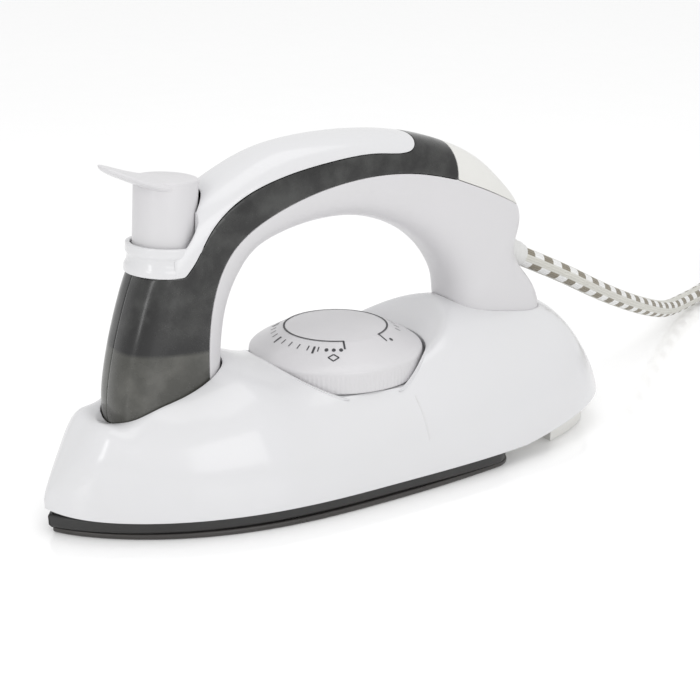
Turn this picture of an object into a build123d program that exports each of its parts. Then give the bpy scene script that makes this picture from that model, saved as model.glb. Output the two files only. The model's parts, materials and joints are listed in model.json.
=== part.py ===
from build123d import *
import math
import os

os.makedirs("parts", exist_ok=True)

# A compact steam travel iron. Millimetres, +Z up, the sole flat on Z = 0.
# +X points to the nose, +Y to the iron's left side, and the origin is under the
# middle of the housing. "Station" is the distance back from the tip of the sole.

# Sole and housing
SOLE_LENGTH = 140.0
SOLE_WIDTH = 70.0
SOLE_THICK = 1.8
SOLE_CORNER = 7.0
BOW_LENGTH = 88.0            # station of the sole's widest point
STERN_TAPER = 3.3            # how much narrower each side is at the sole's rear edge
NOSE_OVERHANG = 2.0
HEEL_OVERHANG = 53.0
BODY_BASE = 5.6
NOSE_RISE = 2.4              # the housing's lower edge lifts this much at the tip
BODY_WALL = 2.2
HEEL_BASE = 11.5             # lower edge of the housing at the end of the heel
HEEL_SQUARENESS = 2.55

# Handle
HANDLE_HALF = 12.0
HANDLE_POWER = 0.72           # superellipse power of the handle's section
HANDLE_WALL = 2.2
FRONT_LEG_FOOT = 22.0
REAR_LEG_FOOT = 35.0
COLLAR_BASE = 71.2

# Steam button and valve
BUTTON_RADIUS = 9.0
BUTTON_STATION = 37.6
BUTTON_TOP = 97.0
BUTTON_LEAN = 4.0            # degrees, leaning back
BUTTON_SKIRT = 76.6          # height of the button's lower rim; it stays above the tank when pressed
PLUNGER_RADIUS = 5.5
PLUNGER_FOOT = 70.5
LIP_REACH = 19.8
LIP_THICK = 1.9
COLLAR_RADIUS = 10.6
COLLAR_HEIGHT = 7.4
WELL_FLOOR = 60.0
STEM_RADIUS = 2.0
STEM_FOOT = 14.0
RUNNING = 0.06               # radial clearance of every running shaft
SPRING_WIRE = 0.6            # radius of the wire
SPRING_RADIUS = 4.2
SPRING_TURNS = 3.5

# Thermostat dial
DIAL_RADIUS = 26.6
DIAL_STATION = 94.3
DIAL_BASE = 31.8
DIAL_RIM = 39.6
DIAL_TOP = 45.4
DIAL_FLAT = 16.5             # radius of the flat middle
DIAL_GAP = 1.6               # radial gap in the recess
DIAL_WALL = 2.0
SPINDLE_RADIUS = 3.0

# Heater
CAST_INSET = 4.5
CAST_TOP = 10.0
ELEMENT_RADIUS = 3.2
ELEMENT_HEIGHT = 6.0
ELEMENT_SPREAD = 19.0        # each leg of the U from the centre line
ELEMENT_NOSE = 42.0          # station of the arc's centre
CHAMBER_ENDS = (40.0, 69.0)  # stations of its round ends' centres
CHAMBER_HALF = 11.0
CHAMBER_FLOOR = 3.6
LID_THICK = 1.2
SHIELD_THICK = 0.8
SHIELD_HEIGHT = 13.0
STEAM_HOLE = 1.3

# Heel and bottom
SKIRT_INSET = 0.9            # from the housing's outline
SKIRT_DRAW = 0.5             # its lip stands this much clear of the housing's inner side, which leans in
SKIRT_WALL = 2.6
SKIRT_LIP = 9.0
COVER_INSET = 3.6            # heel cover, from the housing's outline
COVER_FLOOR = 2.0
FOOT_INSET = 5.0
FOOT_STATION = 160.0
FOOT_CLEAR = 0.6             # the heel foot stands this far off the table
SCREW_RADIUS = 1.75

# Mains lead
CORD_RADIUS = 3.25
CORD_LENGTH = 1800.0
BUSH_LENGTH = 21.0
BUSH_TILT = 24.0             # degrees below the horizontal
CORD_HEIGHT = 56.2
CORE_RADIUS = 1.1
COIL_CENTRE = (-290.5, -54.0)
COIL_RADIUS = 34.2
COIL_WIDE = 4                # turns side by side
COIL_HIGH = 2                # layers
COIL_TURNS = 7.25
TIE_THICK = 0.6
PLUG_RADIUS = 18.5
PLUG_DEPTH = 20.0
PLUG_TAIL = 22.0
PIN_RADIUS = 2.4
PIN_SPACING = 19.0
PIN_LENGTH = 19.0
PIN_SHANK = 10.0
PIN_NECK = 0.5               # the pin's root is this far off the plug's face and this much thicker than its shank

FIT = 0.3                    # gap between pieces that only pass each other

HEEL_STATION = SOLE_LENGTH + HEEL_OVERHANG
NOSE_X = (HEEL_STATION - NOSE_OVERHANG) / 2
REAR_SHIFT = HEEL_STATION - 193.0      # the rear leg and heel keep their distance from the heel's end
DIAL_X = NOSE_X - DIAL_STATION


def at(station):
    """Row X of a station."""
    return NOSE_X - station


def rear(station):
    """Row X of a station that moves with the heel."""
    return NOSE_X - station - REAR_SHIFT


def smooth(x, knots):
    """Height of a smooth curve through the knots at x."""
    last = len(knots) - 1
    i = max(0, min(last - 1, sum(1 for k in knots if k[0] <= x) - 1))
    slopes = []
    for j in (i, i + 1):
        low, high = knots[max(j - 1, 0)], knots[min(j + 1, last)]
        slopes.append((high[1] - low[1]) / (high[0] - low[0]))
    (x0, y0), (x1, y1) = knots[i], knots[i + 1]
    run = x1 - x0
    t = (x - x0) / run
    start = (2 * t**3 - 3 * t**2 + 1) * y0 + (t**3 - 2 * t**2 + t) * run * slopes[0]
    return start + (3 * t**2 - 2 * t**3) * y1 + (t**3 - t**2) * run * slopes[1]


def write(name, shape):
    """One STEP file for one node; a list is a group of separate solids."""
    if isinstance(shape, list):
        shape = Compound(children=shape)
    shape.label = name
    export_step(shape, f"parts/{name}.step")


def post(x, y, low, high, radius):
    """An upright round bar."""
    return Pos(x, y, (low + high) / 2) * Cylinder(radius, high - low)


def block(x0, x1, y0, y1, z0, z1):
    """A box between two corners."""
    return Pos((x0 + x1) / 2, (y0 + y1) / 2, (z0 + z1) / 2) * Box(abs(x1 - x0), abs(y1 - y0), abs(z1 - z0))


# ---------------------------------------------------------------- outlines

def sole_half(station):
    """Half width of the sole: a pointed bow, then a slight taper to the stern."""
    if station < BOW_LENGTH:
        return SOLE_WIDTH / 2 * (1 - (1 - max(station, 0) / BOW_LENGTH) ** 2.6) ** 0.82
    run = (station - BOW_LENGTH) / (SOLE_LENGTH - BOW_LENGTH)
    return SOLE_WIDTH / 2 - STERN_TAPER * run**2.2


def body_half(station):
    """Half width of the housing at its widest level."""
    bow = BOW_LENGTH + NOSE_OVERHANG
    ahead = min((station + NOSE_OVERHANG) / bow, 1.0)
    widest = SOLE_WIDTH / 2 + 0.5
    half = widest * (1 - (1 - max(ahead, 0)) ** 2.6) ** 0.82
    aft = max(station - BOW_LENGTH - 12, 0) / (HEEL_STATION - BOW_LENGTH - 12)
    return half * (1 - min(aft, 1) ** HEEL_SQUARENESS) ** (1 / HEEL_SQUARENESS)


FRONT_DECK = [(-NOSE_OVERHANG, 11.0), (5.5, 22), (12.5, 33), (21, 33.2), (31, 36.4), (44, 41.6), (53, 43.8),
              (68, 39.6), (84, 40.5)]
REAR_DECK = [(108, 45.8), (123, 47.9), (140, 46.8), (165, 43), (174, 39.4), (181, 33), (187.5, 23.5),
             (193, 12.5)]
DECK = FRONT_DECK + [(s + REAR_SHIFT, z) for s, z in REAR_DECK]


def squareness(station):
    """Superellipse exponent of the housing's section: boxy at the nose, domed behind it."""
    return 2.05 + 2.0 * math.exp(-max(station, 0) / 22.0)


def body_section(station, inset, base):
    """Domed section of the housing at one station."""
    half = body_half(station) - inset
    height = smooth(station, DECK) - inset
    base += NOSE_RISE * math.exp(-(station + NOSE_OVERHANG) / 5)
    power = 2 / squareness(station)
    steps = 14
    points = []
    for i in range(steps + 1):
        angle = math.pi * i / steps
        across = math.copysign(abs(math.cos(angle)) ** power, math.cos(angle))
        points.append((at(station), half * across, base + (height - base) * abs(math.sin(angle)) ** power))
    arch = Spline(*points)
    return make_face(arch + Line(arch @ 1, arch @ 0))


def body_loft(stations, inset, base):
    """Solid through the housing's sections."""
    return loft([body_section(s, inset, base) for s in stations])


def plan(inset, end, half_width=sole_half, corner=SOLE_CORNER, start=0.0):
    """Boat-shaped face on Z = 0, inset all round and cut square at the end station."""
    side = []
    steps = 12
    for i in range(1, steps + 1):
        station = start + (end - start) * (i / steps) ** 1.7
        slope = half_width(station + 0.01) - half_width(station - 0.01)
        length = math.hypot(slope, 0.02)
        point = (station + inset * slope / length, half_width(station) - inset * 0.02 / length)
        if i == steps:
            point = (end, point[1])
        if point[1] > inset * 0.4 + 1.0:
            side.append(point)
    left = [(at(s), y) for s, y in reversed(side)]
    right = [(at(s), -y) for s, y in side]
    bow = Spline(*left, (at(start + 1.3 * inset), 0), *right)
    face = make_face(bow + Line(bow @ 1, bow @ 0))
    return fillet(face.vertices().sort_by(Axis.X)[:2], corner)


def slab(face, low, high):
    """A flat face on Z = 0 thickened between two heights."""
    return extrude(Pos(0, 0, low) * face, high - low, dir=(0, 0, 1))


# ---------------------------------------------------------------- handle, as (station, height)

# Ribs across the handle, each from its outer to its inner edge in the middle plane
FRONT_RIBS = [((19.2, FRONT_LEG_FOOT), (52, FRONT_LEG_FOOT)), ((18.2, 34), (52, 36)), ((20.2, 47), (52.4, 47)),
              ((24.2, 61), (54.6, 60)), ((29, 73), (58.6, 68.3)), ((39, 86), (64.2, 74.4)),
              ((53, 95.2), (71.5, 77.4)), ((67, 101.2), (79, 79)), ((82.4, 103.8), (88, 79.8))]
REAR_RIBS = [((99.5, 104), (98.5, 79)), ((117, 102), (109.5, 75.6)), ((131, 98), (119, 70.6)),
             ((143.5, 91.8), (126.4, 64.2)), ((153.6, 83), (131, 57.8)), ((160, 72.6), (133.4, 52)),
             ((158, 65), (134.2, 48)), ((159.6, 57.4), (134.6, 44.6)), ((165.6, 50), (134.6, 41.4)),
             ((169.4, 42.4), (134.6, 38)), ((170, REAR_LEG_FOOT), (134.6, REAR_LEG_FOOT))]
TANK_REAR = [(45.5, 34), (46.2, 58), (53, 75.8), (69, 86), (88, 91), (106, 92), (119, 90.4)]
COVER_EDGE = [(38.5, COLLAR_BASE), (41.6, 74.8), (46, 81.6), (54, 89), (67.3, 94.6), (86, 97.8), (104, 98.2),
              (112, 97.6)]
CAP_SEAM = [(131, 87.3), (144, 82), (162, 73.2)]
CAP_FRONT = (130.6, 98.2)
COVER_END = (117, 102)


def middle(points, place=at):
    """Points of the middle plane from stations and heights."""
    return [(place(s), 0, z) for s, z in points]


def rib(outer, inner, inset, place):
    """Rounded section of the handle between two points of the middle plane."""
    high, low = Vector(place(outer[0]), 0, outer[1]), Vector(place(inner[0]), 0, inner[1])
    along = (high - low).normalized()
    reach = (high - low).length / 2 - inset
    half = HANDLE_HALF - inset
    steps = 8
    halves = []
    for sign in (1, -1):
        points = []
        for i in range(steps + 1):
            angle = math.pi * (i / steps if sign > 0 else 1 - i / steps)
            cosine, sine = math.cos(angle), math.sin(angle)
            out = math.copysign(abs(cosine) ** HANDLE_POWER, cosine) * reach
            side = sign * max(sine, 0) ** HANDLE_POWER * half
            points.append((high + low) / 2 + along * out + Vector(0, side, 0))
        across = Vector(0, sign, 0)
        halves.append(Spline(*points, tangents=(across, across * -1)))
    return make_face(Curve() + halves)


def handle_solid(inset, ruled=False):
    """The whole handle as one solid, inset all round."""
    ribs = [rib(outer, inner, inset, at) for outer, inner in FRONT_RIBS]
    ribs += [rib(outer, inner, inset, rear) for outer, inner in REAR_RIBS]
    return loft(ribs, ruled=ruled)


def thicken(edges, half):
    """A closed boundary in the middle plane, thickened both ways."""
    face = make_face(Curve() + edges)
    return extrude(Pos(0, -half, 0) * face, 2 * half, dir=(0, 1, 0))


def tank_region():
    """Side outline of the tank, run out past the handle's surface where it shows."""
    back = Spline(*middle(TANK_REAR), *middle(CAP_SEAM[:1], rear))
    under_cover = Spline(*middle(COVER_EDGE))
    nose = Polyline(under_cover @ 0, (at(10), 0, COLLAR_BASE), (at(10), 0, FRONT_LEG_FOOT - 5),
                    (at(TANK_REAR[0][0]), 0, FRONT_LEG_FOOT - 5), back @ 0)
    over = Polyline(back @ 1, *middle([CAP_FRONT, (CAP_FRONT[0], 120)], rear),
                    *middle([(COVER_END[0], 120), COVER_END]), under_cover @ 1)
    return [back, under_cover, nose, over]


def cover_region():
    """Side outline of the top cover."""
    under = Spline(*middle(COVER_EDGE))
    round_end = Polyline(under @ 1, *middle([COVER_END, (COVER_END[0], 120), (10, 120), (10, COLLAR_BASE)]),
                         under @ 0)
    return [under, round_end]


def cap_region():
    """Side outline of the rear cap."""
    seam = Spline(*middle(CAP_SEAM, rear))
    outside = Polyline(seam @ 1, *middle([(180, CAP_SEAM[-1][1]), (180, 120), (CAP_FRONT[0], 120), CAP_FRONT],
                                         rear), seam @ 0)
    return [seam, outside]


def lean(z):
    """Frame on the steam button's axis whose local Z is height along the axis."""
    drop = z - COLLAR_BASE
    x = at(BUTTON_STATION) - drop * math.tan(math.radians(BUTTON_LEAN))
    return Location((x, 0, z), (0, -BUTTON_LEAN, 0))


def leaning_post(low, high, radius):
    """A round bar on the button's axis."""
    return lean(low) * Pos(0, 0, (high - low) / 2) * Cylinder(radius, high - low)


# ---------------------------------------------------------------- housing and bottom

BODY_STATIONS = [-1.8, 0.5, 4.5, 11, 20, 31, 44, 56, 68, 84, 100, 116]
BODY_STATIONS += [s + REAR_SHIFT for s in (132, 148, 163, 175, 183, 188.5, 192.8)]
INNER_STATIONS = [3, 7, 12, 20, 31, 44, 56, 68, 84, 100, 116]
INNER_STATIONS += [s + REAR_SHIFT for s in (132, 148, 163, 175, 183, 188, 189.8)]
SHELL_REAR = SOLE_LENGTH + 4
BOSS_X = rear(176)
BOSS_Y = 14.0
LEG_SCREW_X = rear(160)
CUP_FLOOR = DIAL_BASE - 0.8
CUP_RADIUS = DIAL_RADIUS + DIAL_GAP
HANDLE = handle_solid(0)
HANDLE_ROOM = handle_solid(HANDLE_WALL, ruled=True)
HANDLE_SOCKET = handle_solid(-0.2)
BUTTON_PATH = leaning_post(COLLAR_BASE - 0.7, 130, BUTTON_RADIUS + 0.35)


def body_shell():
    """White housing: a domed shell with the dial's recess and both leg sockets."""
    outer = body_loft(BODY_STATIONS, 0, BODY_BASE)
    shell = outer - body_loft(INNER_STATIONS, BODY_WALL, BODY_BASE - 4)
    cup = post(DIAL_X, 0, CUP_FLOOR - DIAL_WALL, 60, CUP_RADIUS + DIAL_WALL)
    bosses = [post(BOSS_X, side * BOSS_Y, SKIRT_LIP + 3, 40, 2 * SCREW_RADIUS) for side in (1, -1)]
    shell += outer & (cup + bosses)
    shell -= post(DIAL_X, 0, CUP_FLOOR, 70, CUP_RADIUS)
    shell -= post(DIAL_X, 0, 0, 70, SPINDLE_RADIUS + 1)
    shell -= [post(BOSS_X, side * BOSS_Y, 0, 24, SCREW_RADIUS) for side in (1, -1)]
    wedge = make_face(Polyline((at(SHELL_REAR), 0, -5), (at(SHELL_REAR), 0, BODY_BASE),
                               (at(HEEL_STATION), 0, HEEL_BASE), (at(HEEL_STATION) - 9, 0, HEEL_BASE),
                               (at(HEEL_STATION) - 9, 0, -5), close=True))
    shell -= extrude(Pos(0, -SOLE_WIDTH, 0) * wedge, 2 * SOLE_WIDTH, dir=(0, 1, 0))
    return shell - HANDLE_SOCKET


def heel_plan(inset, first):
    """Rounded outline of the heel from a station back, inset from the housing."""
    side = []
    steps = 9
    for i in range(steps):
        station = HEEL_STATION - (HEEL_STATION - first) * (1 - i / steps) ** 1.8
        slope = body_half(station + 0.01) - body_half(station - 0.01)
        length = math.hypot(slope, 0.02)
        point = (station + inset * slope / length, body_half(station) - inset * 0.02 / length)
        if i == 0:
            point = (first, point[1])
        side.append(point)
    near = [(at(s), y) for s, y in side]
    far = [(at(s), -y) for s, y in reversed(side)]
    heel = Spline(*near, (at(HEEL_STATION - inset), 0), *far)
    return make_face(heel + Line(heel @ 1, heel @ 0))


def heel_cover():
    """Tray that closes the housing behind the sole, with the boss for the leg's screw."""
    first = SOLE_LENGTH + FIT
    tray = slab(heel_plan(COVER_INSET, first), BODY_BASE, HEEL_BASE + 2.5)
    tray -= slab(heel_plan(COVER_INSET + COVER_FLOOR, first + COVER_FLOOR), BODY_BASE + COVER_FLOOR, 40)
    tray -= block(at(first + COVER_FLOOR + 1), at(first - 1), -SOLE_WIDTH, SOLE_WIDTH, SKIRT_LIP + 1, 40)
    tray += post(LEG_SCREW_X, 0, BODY_BASE, REAR_LEG_FOOT, 4.5)
    tray += [post(BOSS_X, side * BOSS_Y, BODY_BASE, SKIRT_LIP + 3, 2 * SCREW_RADIUS) for side in (1, -1)]
    return tray - leg_screw() - heel_screws() - post(LEG_SCREW_X, 0, 0, BODY_BASE + 3, 3.4)


def heel_foot():
    """Low foot under the heel."""
    return slab(heel_plan(FOOT_INSET, FOOT_STATION + REAR_SHIFT), FOOT_CLEAR, BODY_BASE)


def screw(x, y, seat, tip, shank=SCREW_RADIUS):
    """Pan-head screw pointing up, its head below the seat; the tip may also be lower than the seat."""
    sign = 1 if tip > seat else -1
    head_end = seat - sign * 1.6
    body = post(x, y, min(seat, tip), max(seat, tip), shank)
    head = post(x, y, min(seat, head_end), max(seat, head_end), 1.8 * shank)
    slot = block(x - 1.8 * shank, x + 1.8 * shank, y - 0.3, y + 0.3, head_end, head_end + sign * 0.7)
    return body + head - slot


def leg_screw():
    return screw(LEG_SCREW_X, 0, BODY_BASE + 4.6, REAR_LEG_FOOT + 9)


def heel_screws():
    return [screw(BOSS_X, side * BOSS_Y, BODY_BASE + 1.6, 22) for side in (1, -1)]


def soleplate():
    """Flat coated sole with its steam holes."""
    plate = slab(plan(0, SOLE_LENGTH), 0, SOLE_THICK)
    return plate - [post(x, y, -1, SOLE_THICK + 1, STEAM_HOLE) for x, y in steam_holes()]


def steam_holes():
    """Centres of the steam holes, in a V behind the nose."""
    pairs = [(ELEMENT_NOSE - 4 + 9 * i, 2.5 + 1.8 * i) for i in range(4)]
    return [(at(s), side * y) for s, y in pairs for side in (1, -1)]


def heat_skirt():
    """Dark heat-resistant ring between the sole and the housing."""
    end = SOLE_LENGTH - 1
    lower = slab(plan(SKIRT_INSET, end, body_half, start=-NOSE_OVERHANG), SOLE_THICK, BODY_BASE)
    upper = slab(plan(BODY_WALL + FIT + SKIRT_DRAW, end - 1, body_half, start=3), BODY_BASE, SKIRT_LIP)
    return lower + upper - slab(plan(CAST_INSET - FIT, end - SKIRT_WALL), 0, SKIRT_LIP + 1)


def chamber(extra, low, high):
    """Round-ended space of the steam chamber, grown by extra."""
    front, back = (at(s) for s in CHAMBER_ENDS)
    half = CHAMBER_HALF + extra
    return post(front, 0, low, high, half) + post(back, 0, low, high, half) + block(
        back, front, -half, half, low, high)


def element_path():
    back = SOLE_LENGTH - 14
    return Line((at(back), ELEMENT_SPREAD, ELEMENT_HEIGHT), (at(ELEMENT_NOSE), ELEMENT_SPREAD, ELEMENT_HEIGHT)
                ) + ThreePointArc((at(ELEMENT_NOSE), ELEMENT_SPREAD, ELEMENT_HEIGHT),
                                  (at(ELEMENT_NOSE - ELEMENT_SPREAD), 0, ELEMENT_HEIGHT),
                                  (at(ELEMENT_NOSE), -ELEMENT_SPREAD, ELEMENT_HEIGHT)
                                  ) + Line((at(ELEMENT_NOSE), -ELEMENT_SPREAD, ELEMENT_HEIGHT),
                                           (at(back), -ELEMENT_SPREAD, ELEMENT_HEIGHT))


def tube(path, radius):
    """Round bar along a path."""
    return sweep(Plane(origin=path @ 0, z_dir=path % 0) * Circle(radius), path)


def heater_casting():
    """Aluminium casting with the steam chamber and the groove of the element."""
    casting = slab(plan(CAST_INSET, SOLE_LENGTH - 18), SOLE_THICK, CAST_TOP)
    casting -= chamber(0, CHAMBER_FLOOR, CAST_TOP + 1)
    casting -= [post(x, y, 0, CAST_TOP, STEAM_HOLE) for x, y in steam_holes()]
    casting += [post(x, y, CAST_TOP, SHIELD_HEIGHT, 3.5) for x, y in shield_posts()]
    return casting - tube(element_path(), ELEMENT_RADIUS) - shield_screws() - lid_screws() - earth_screw()


def shield_posts():
    return [(at(s), side * 24.5) for s in (56, 78) for side in (1, -1)]


def shield_screws():
    top = SHIELD_HEIGHT + SHIELD_THICK
    return [screw(x, y, top, CAST_TOP - 2, 1.2) for x, y in shield_posts()]


def lid_screws():
    front, back = CHAMBER_ENDS
    places = [(at(s), side * (CHAMBER_HALF + 2.2)) for s in (front + 6, back - 6) for side in (1, -1)]
    return [screw(x, y, CAST_TOP + LID_THICK, CAST_TOP - 4, 0.9) for x, y in places]


def chamber_lid():
    """Plate over the steam chamber with the valve's inlet."""
    return chamber(4, CAST_TOP, CAST_TOP + LID_THICK) - leaning_post(5, 20, 3) - lid_screws()


def heat_shield():
    """Sheet over the front of the casting, open round the valve and its lid."""
    sheet = slab(plan(CAST_INSET + 1, 84, corner=4), SHIELD_HEIGHT, SHIELD_HEIGHT + SHIELD_THICK)
    return sheet - leaning_post(5, 30, 7) - shield_screws()


def heating_element():
    """U-shaped tubular element with its two cold pins."""
    pins = [Pos(at(SOLE_LENGTH - 14) - 2.75, side * ELEMENT_SPREAD, ELEMENT_HEIGHT) * Rot(0, 90, 0) *
            Cylinder(1.4, 5.5) for side in (1, -1)]
    return tube(element_path(), ELEMENT_RADIUS) + pins


# ---------------------------------------------------------------- thermostat and dial

STACK_X = DIAL_X - 9
LEAF_HEIGHT = 14.6


def thermostat_stack():
    """Ceramic column that clamps the strips and carries the bracket."""
    return post(STACK_X, 0, CAST_TOP, 17, 4) - bimetal_strip() - contact_leaf()


def bimetal_strip():
    return block(STACK_X - 5, DIAL_X + 12, -3, 3, 12, 12.6)


def contact_leaf():
    return block(STACK_X - 5, DIAL_X + 6, -2.5, 2.5, LEAF_HEIGHT, LEAF_HEIGHT + 0.4)


def thermostat_bracket():
    """Steel bracket with the bush in which the spindle turns."""
    plate = block(STACK_X - 5, DIAL_X + 7, -5, 5, 17, 18) + post(DIAL_X, 0, 18, 25, 5)
    return plate - post(DIAL_X, 0, 16, 26, SPINDLE_RADIUS + RUNNING)


def thermostat_spindle():
    """Spindle from the dial's hub down to the contact leaf."""
    return post(DIAL_X, 0, LEAF_HEIGHT + 0.7, DIAL_TOP - 3.5, SPINDLE_RADIUS)


def dial():
    """Round dial: a knurled rim, a sloping ring for the scale and a flat middle."""
    outline = Polyline((0, DIAL_BASE + 1.4), (DIAL_RADIUS - 2, DIAL_BASE + 1.4), (DIAL_RADIUS - 2, DIAL_BASE),
                       (DIAL_RADIUS, DIAL_BASE), (DIAL_RADIUS, DIAL_RIM - 1), (DIAL_RADIUS - 1, DIAL_RIM),
                       (DIAL_FLAT, DIAL_TOP), (0, DIAL_TOP), close=True)
    turned = revolve(Plane.XZ * make_face(outline), Axis.Z)
    under = revolve(Plane.XZ * make_face(Polyline((6, DIAL_BASE), (DIAL_RADIUS - 2, DIAL_BASE),
                                                  (DIAL_RADIUS - 2, DIAL_RIM - 2), (DIAL_FLAT, DIAL_TOP - 2),
                                                  (6, DIAL_TOP - 2), close=True)), Axis.Z)
    return Pos(DIAL_X, 0, 0) * (turned - under) - thermostat_spindle()


def thermal_fuse():
    """Fuse in its sleeve on the casting, with its two leads."""
    y, z = 13.0, CAST_TOP + 2.2
    body = Pos(at(113), y, z) * Rot(0, 90, 0) * Cylinder(2.2, 12)
    front = FilletPolyline((at(107), y, z), (at(102), y, z), (STACK_X - 3, 2.5, LEAF_HEIGHT + 0.2), radius=1.5)
    back = Pos(at(121), y, z) * Rot(0, 90, 0) * Cylinder(0.5, 4)
    return body + tube(front, 0.5) + back


def fuse_clip():
    saddle = block(at(116), at(110), 9, 17, CAST_TOP, CAST_TOP + 5.4)
    saddle -= block(at(117), at(109), 13 - 2.2, 13 + 2.2, CAST_TOP - 1, CAST_TOP + 2.2)
    return saddle - Pos(at(113), 13, CAST_TOP + 2.2) * Rot(0, 90, 0) * Cylinder(2.2, 12)


# ---------------------------------------------------------------- wiring

TERMINAL_X = (rear(155), rear(145))
TERMINAL_TOP = 19.0
POLE_PITCH = 8.0
EARTH = (at(116), -8.0)


def terminal_block():
    poles = [POLE_PITCH * i for i in (-1, 0, 1)]
    body = block(*TERMINAL_X, -13, 13, BODY_BASE + COVER_FLOOR, TERMINAL_TOP)
    middle_x = sum(TERMINAL_X) / 2
    return body - [screw(middle_x - 2.5, y, TERMINAL_TOP - 1, TERMINAL_TOP - 5, 1.1) for y in poles] - [
        post(middle_x - 2.5, y, TERMINAL_TOP - 1, TERMINAL_TOP + 1, 2) for y in poles]


def terminal_screws():
    middle_x = sum(TERMINAL_X) / 2
    return [screw(middle_x - 2.5, POLE_PITCH * i, TERMINAL_TOP - 1, TERMINAL_TOP - 5, 1.1) for i in (-1, 0, 1)]


def earth_screw():
    return screw(*EARTH, CAST_TOP + 0.8, CAST_TOP - 5, 1.5)


def earth_lug():
    ring = post(*EARTH, CAST_TOP, CAST_TOP + 0.8, 4) + block(EARTH[0] - 9, EARTH[0], EARTH[1] - 1.5, EARTH[1] + 1.5,
                                                            CAST_TOP, CAST_TOP + 0.8)
    return ring - post(*EARTH, CAST_TOP - 1, CAST_TOP + 2, 1.5)


def wire(points, bend):
    return tube(FilletPolyline(*points, radius=bend), CORE_RADIUS)


def live_wire():
    return wire([(TERMINAL_X[1], POLE_PITCH, 14), (at(130), 10, 18), (at(116), 6, 18.5),
                 (STACK_X - 5, 2, 17.5)], 4)


def neutral_wire():
    pin_x = at(SOLE_LENGTH - 14) - 3
    return wire([(TERMINAL_X[1], -POLE_PITCH, 13), (TERMINAL_X[1] + 4.5, -12, 13),
                 (pin_x, -ELEMENT_SPREAD, 13), (pin_x, -ELEMENT_SPREAD, ELEMENT_HEIGHT + 1.4)], 1.9)


def link_wire():
    pin_x = at(SOLE_LENGTH - 14) - 3
    return wire([(at(123), 13, CAST_TOP + 2.2), (at(126), 15, 13), (pin_x, ELEMENT_SPREAD, 13),
                 (pin_x, ELEMENT_SPREAD, ELEMENT_HEIGHT + 1.4)], 1.6)


def earth_wire():
    lug_x = EARTH[0] - 7
    return wire([(TERMINAL_X[1], 0, 14), (TERMINAL_X[1] + 8, -3, 15), (lug_x, EARTH[1], 15),
                 (lug_x, EARTH[1], CAST_TOP + 0.8)], 2.5)


def bush_point(distance):
    """Point on the cord bush's axis, counted outwards from its outer end."""
    tilt = math.radians(BUSH_TILT)
    return Vector(rear(165) - distance * math.cos(tilt), 0, CORD_HEIGHT - distance * math.sin(tilt))


def bush_part(start, end, inner, outer):
    """Tapered round bar on the bush's axis."""
    direction = (bush_point(end) - bush_point(start)).normalized()
    place = Plane(origin=bush_point(start), z_dir=direction)
    return loft([place * Circle(inner), Plane(origin=bush_point(end), z_dir=direction) * Circle(outer)])


def cord_bush():
    """Tapered rubber bush that grips the lead in the leg's rear wall."""
    flange = bush_part(-BUSH_LENGTH, -BUSH_LENGTH + 3, 8, 8)
    sleeve = bush_part(-BUSH_LENGTH + 3, 0, 6.4, 4.6)
    return flange + sleeve


def lead_cores():
    """The lead's three cores inside the rear leg."""
    start = bush_point(-BUSH_LENGTH)
    cores = []
    for i in (-1, 0, 1):
        cores.append(wire([(start.X, 2.5 * i, start.Z), (rear(140), 2.6 * i, start.Z + 0.6),
                           (rear(140), 3.4 * i, 40), (rear(145.6), POLE_PITCH * i, 26),
                           (rear(147), POLE_PITCH * i, TERMINAL_TOP)], 2.0))
    return cores


# ---------------------------------------------------------------- tank, valve and button

def handle_core(low_front, low_rear):
    """Inside of the handle's walls, above a floor in each leg."""
    core = HANDLE_ROOM - block(at(70), at(0), -20, 20, 0, low_front)
    return core - block(rear(190), rear(110), -20, 20, 0, low_rear)


def tank_body():
    """Outside of the tank, both halves, still solid."""
    return HANDLE & thicken(tank_region(), 20)


def well(extra, low):
    """Round pocket of the button's plunger, grown by extra."""
    return leaning_post(low, COLLAR_BASE + 2, PLUNGER_RADIUS + 0.4 + extra)


def water_tank():
    """Smoked tank in the front leg and along the arch, hollow, with the button's well."""
    body = tank_body()
    room = HANDLE_ROOM & thicken(tank_region_inset(), 20)
    room -= well(HANDLE_WALL, WELL_FLOOR - HANDLE_WALL)
    body -= room
    body -= well(0, WELL_FLOOR)
    return body - leaning_post(0, COLLAR_BASE + 5, STEM_RADIUS + RUNNING) - BUTTON_PATH


def tank_region_inset():
    """Side outline of the water space."""
    t = HANDLE_WALL
    back = Spline(*middle([(s - t if z < 70 else s - 0.5 * t, z + 0.8 * t if z > 70 else z) for s, z in TANK_REAR]))
    under_cover = Spline(*middle([(s + 0.8 * t if z < 95 else s, z - t) for s, z in COVER_EDGE]))
    nose = Polyline(under_cover @ 0, (at(10), 0, COLLAR_BASE - t), (at(10), 0, FRONT_LEG_FOOT + t),
                    (at(TANK_REAR[0][0] - t), 0, FRONT_LEG_FOOT + t), back @ 0)
    return [back, under_cover, nose, Line(back @ 1, under_cover @ 1)]


def button_notch():
    """Everything ahead of the button, above the collar's base."""
    return block(at(BUTTON_STATION + 6), at(0), -20, 20, COLLAR_BASE, 120)


def half_of(shape, side):
    """The left (1) or right (-1) half of a shape."""
    return shape & block(-200, 200, 0, side * 60, -10, 200)


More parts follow.
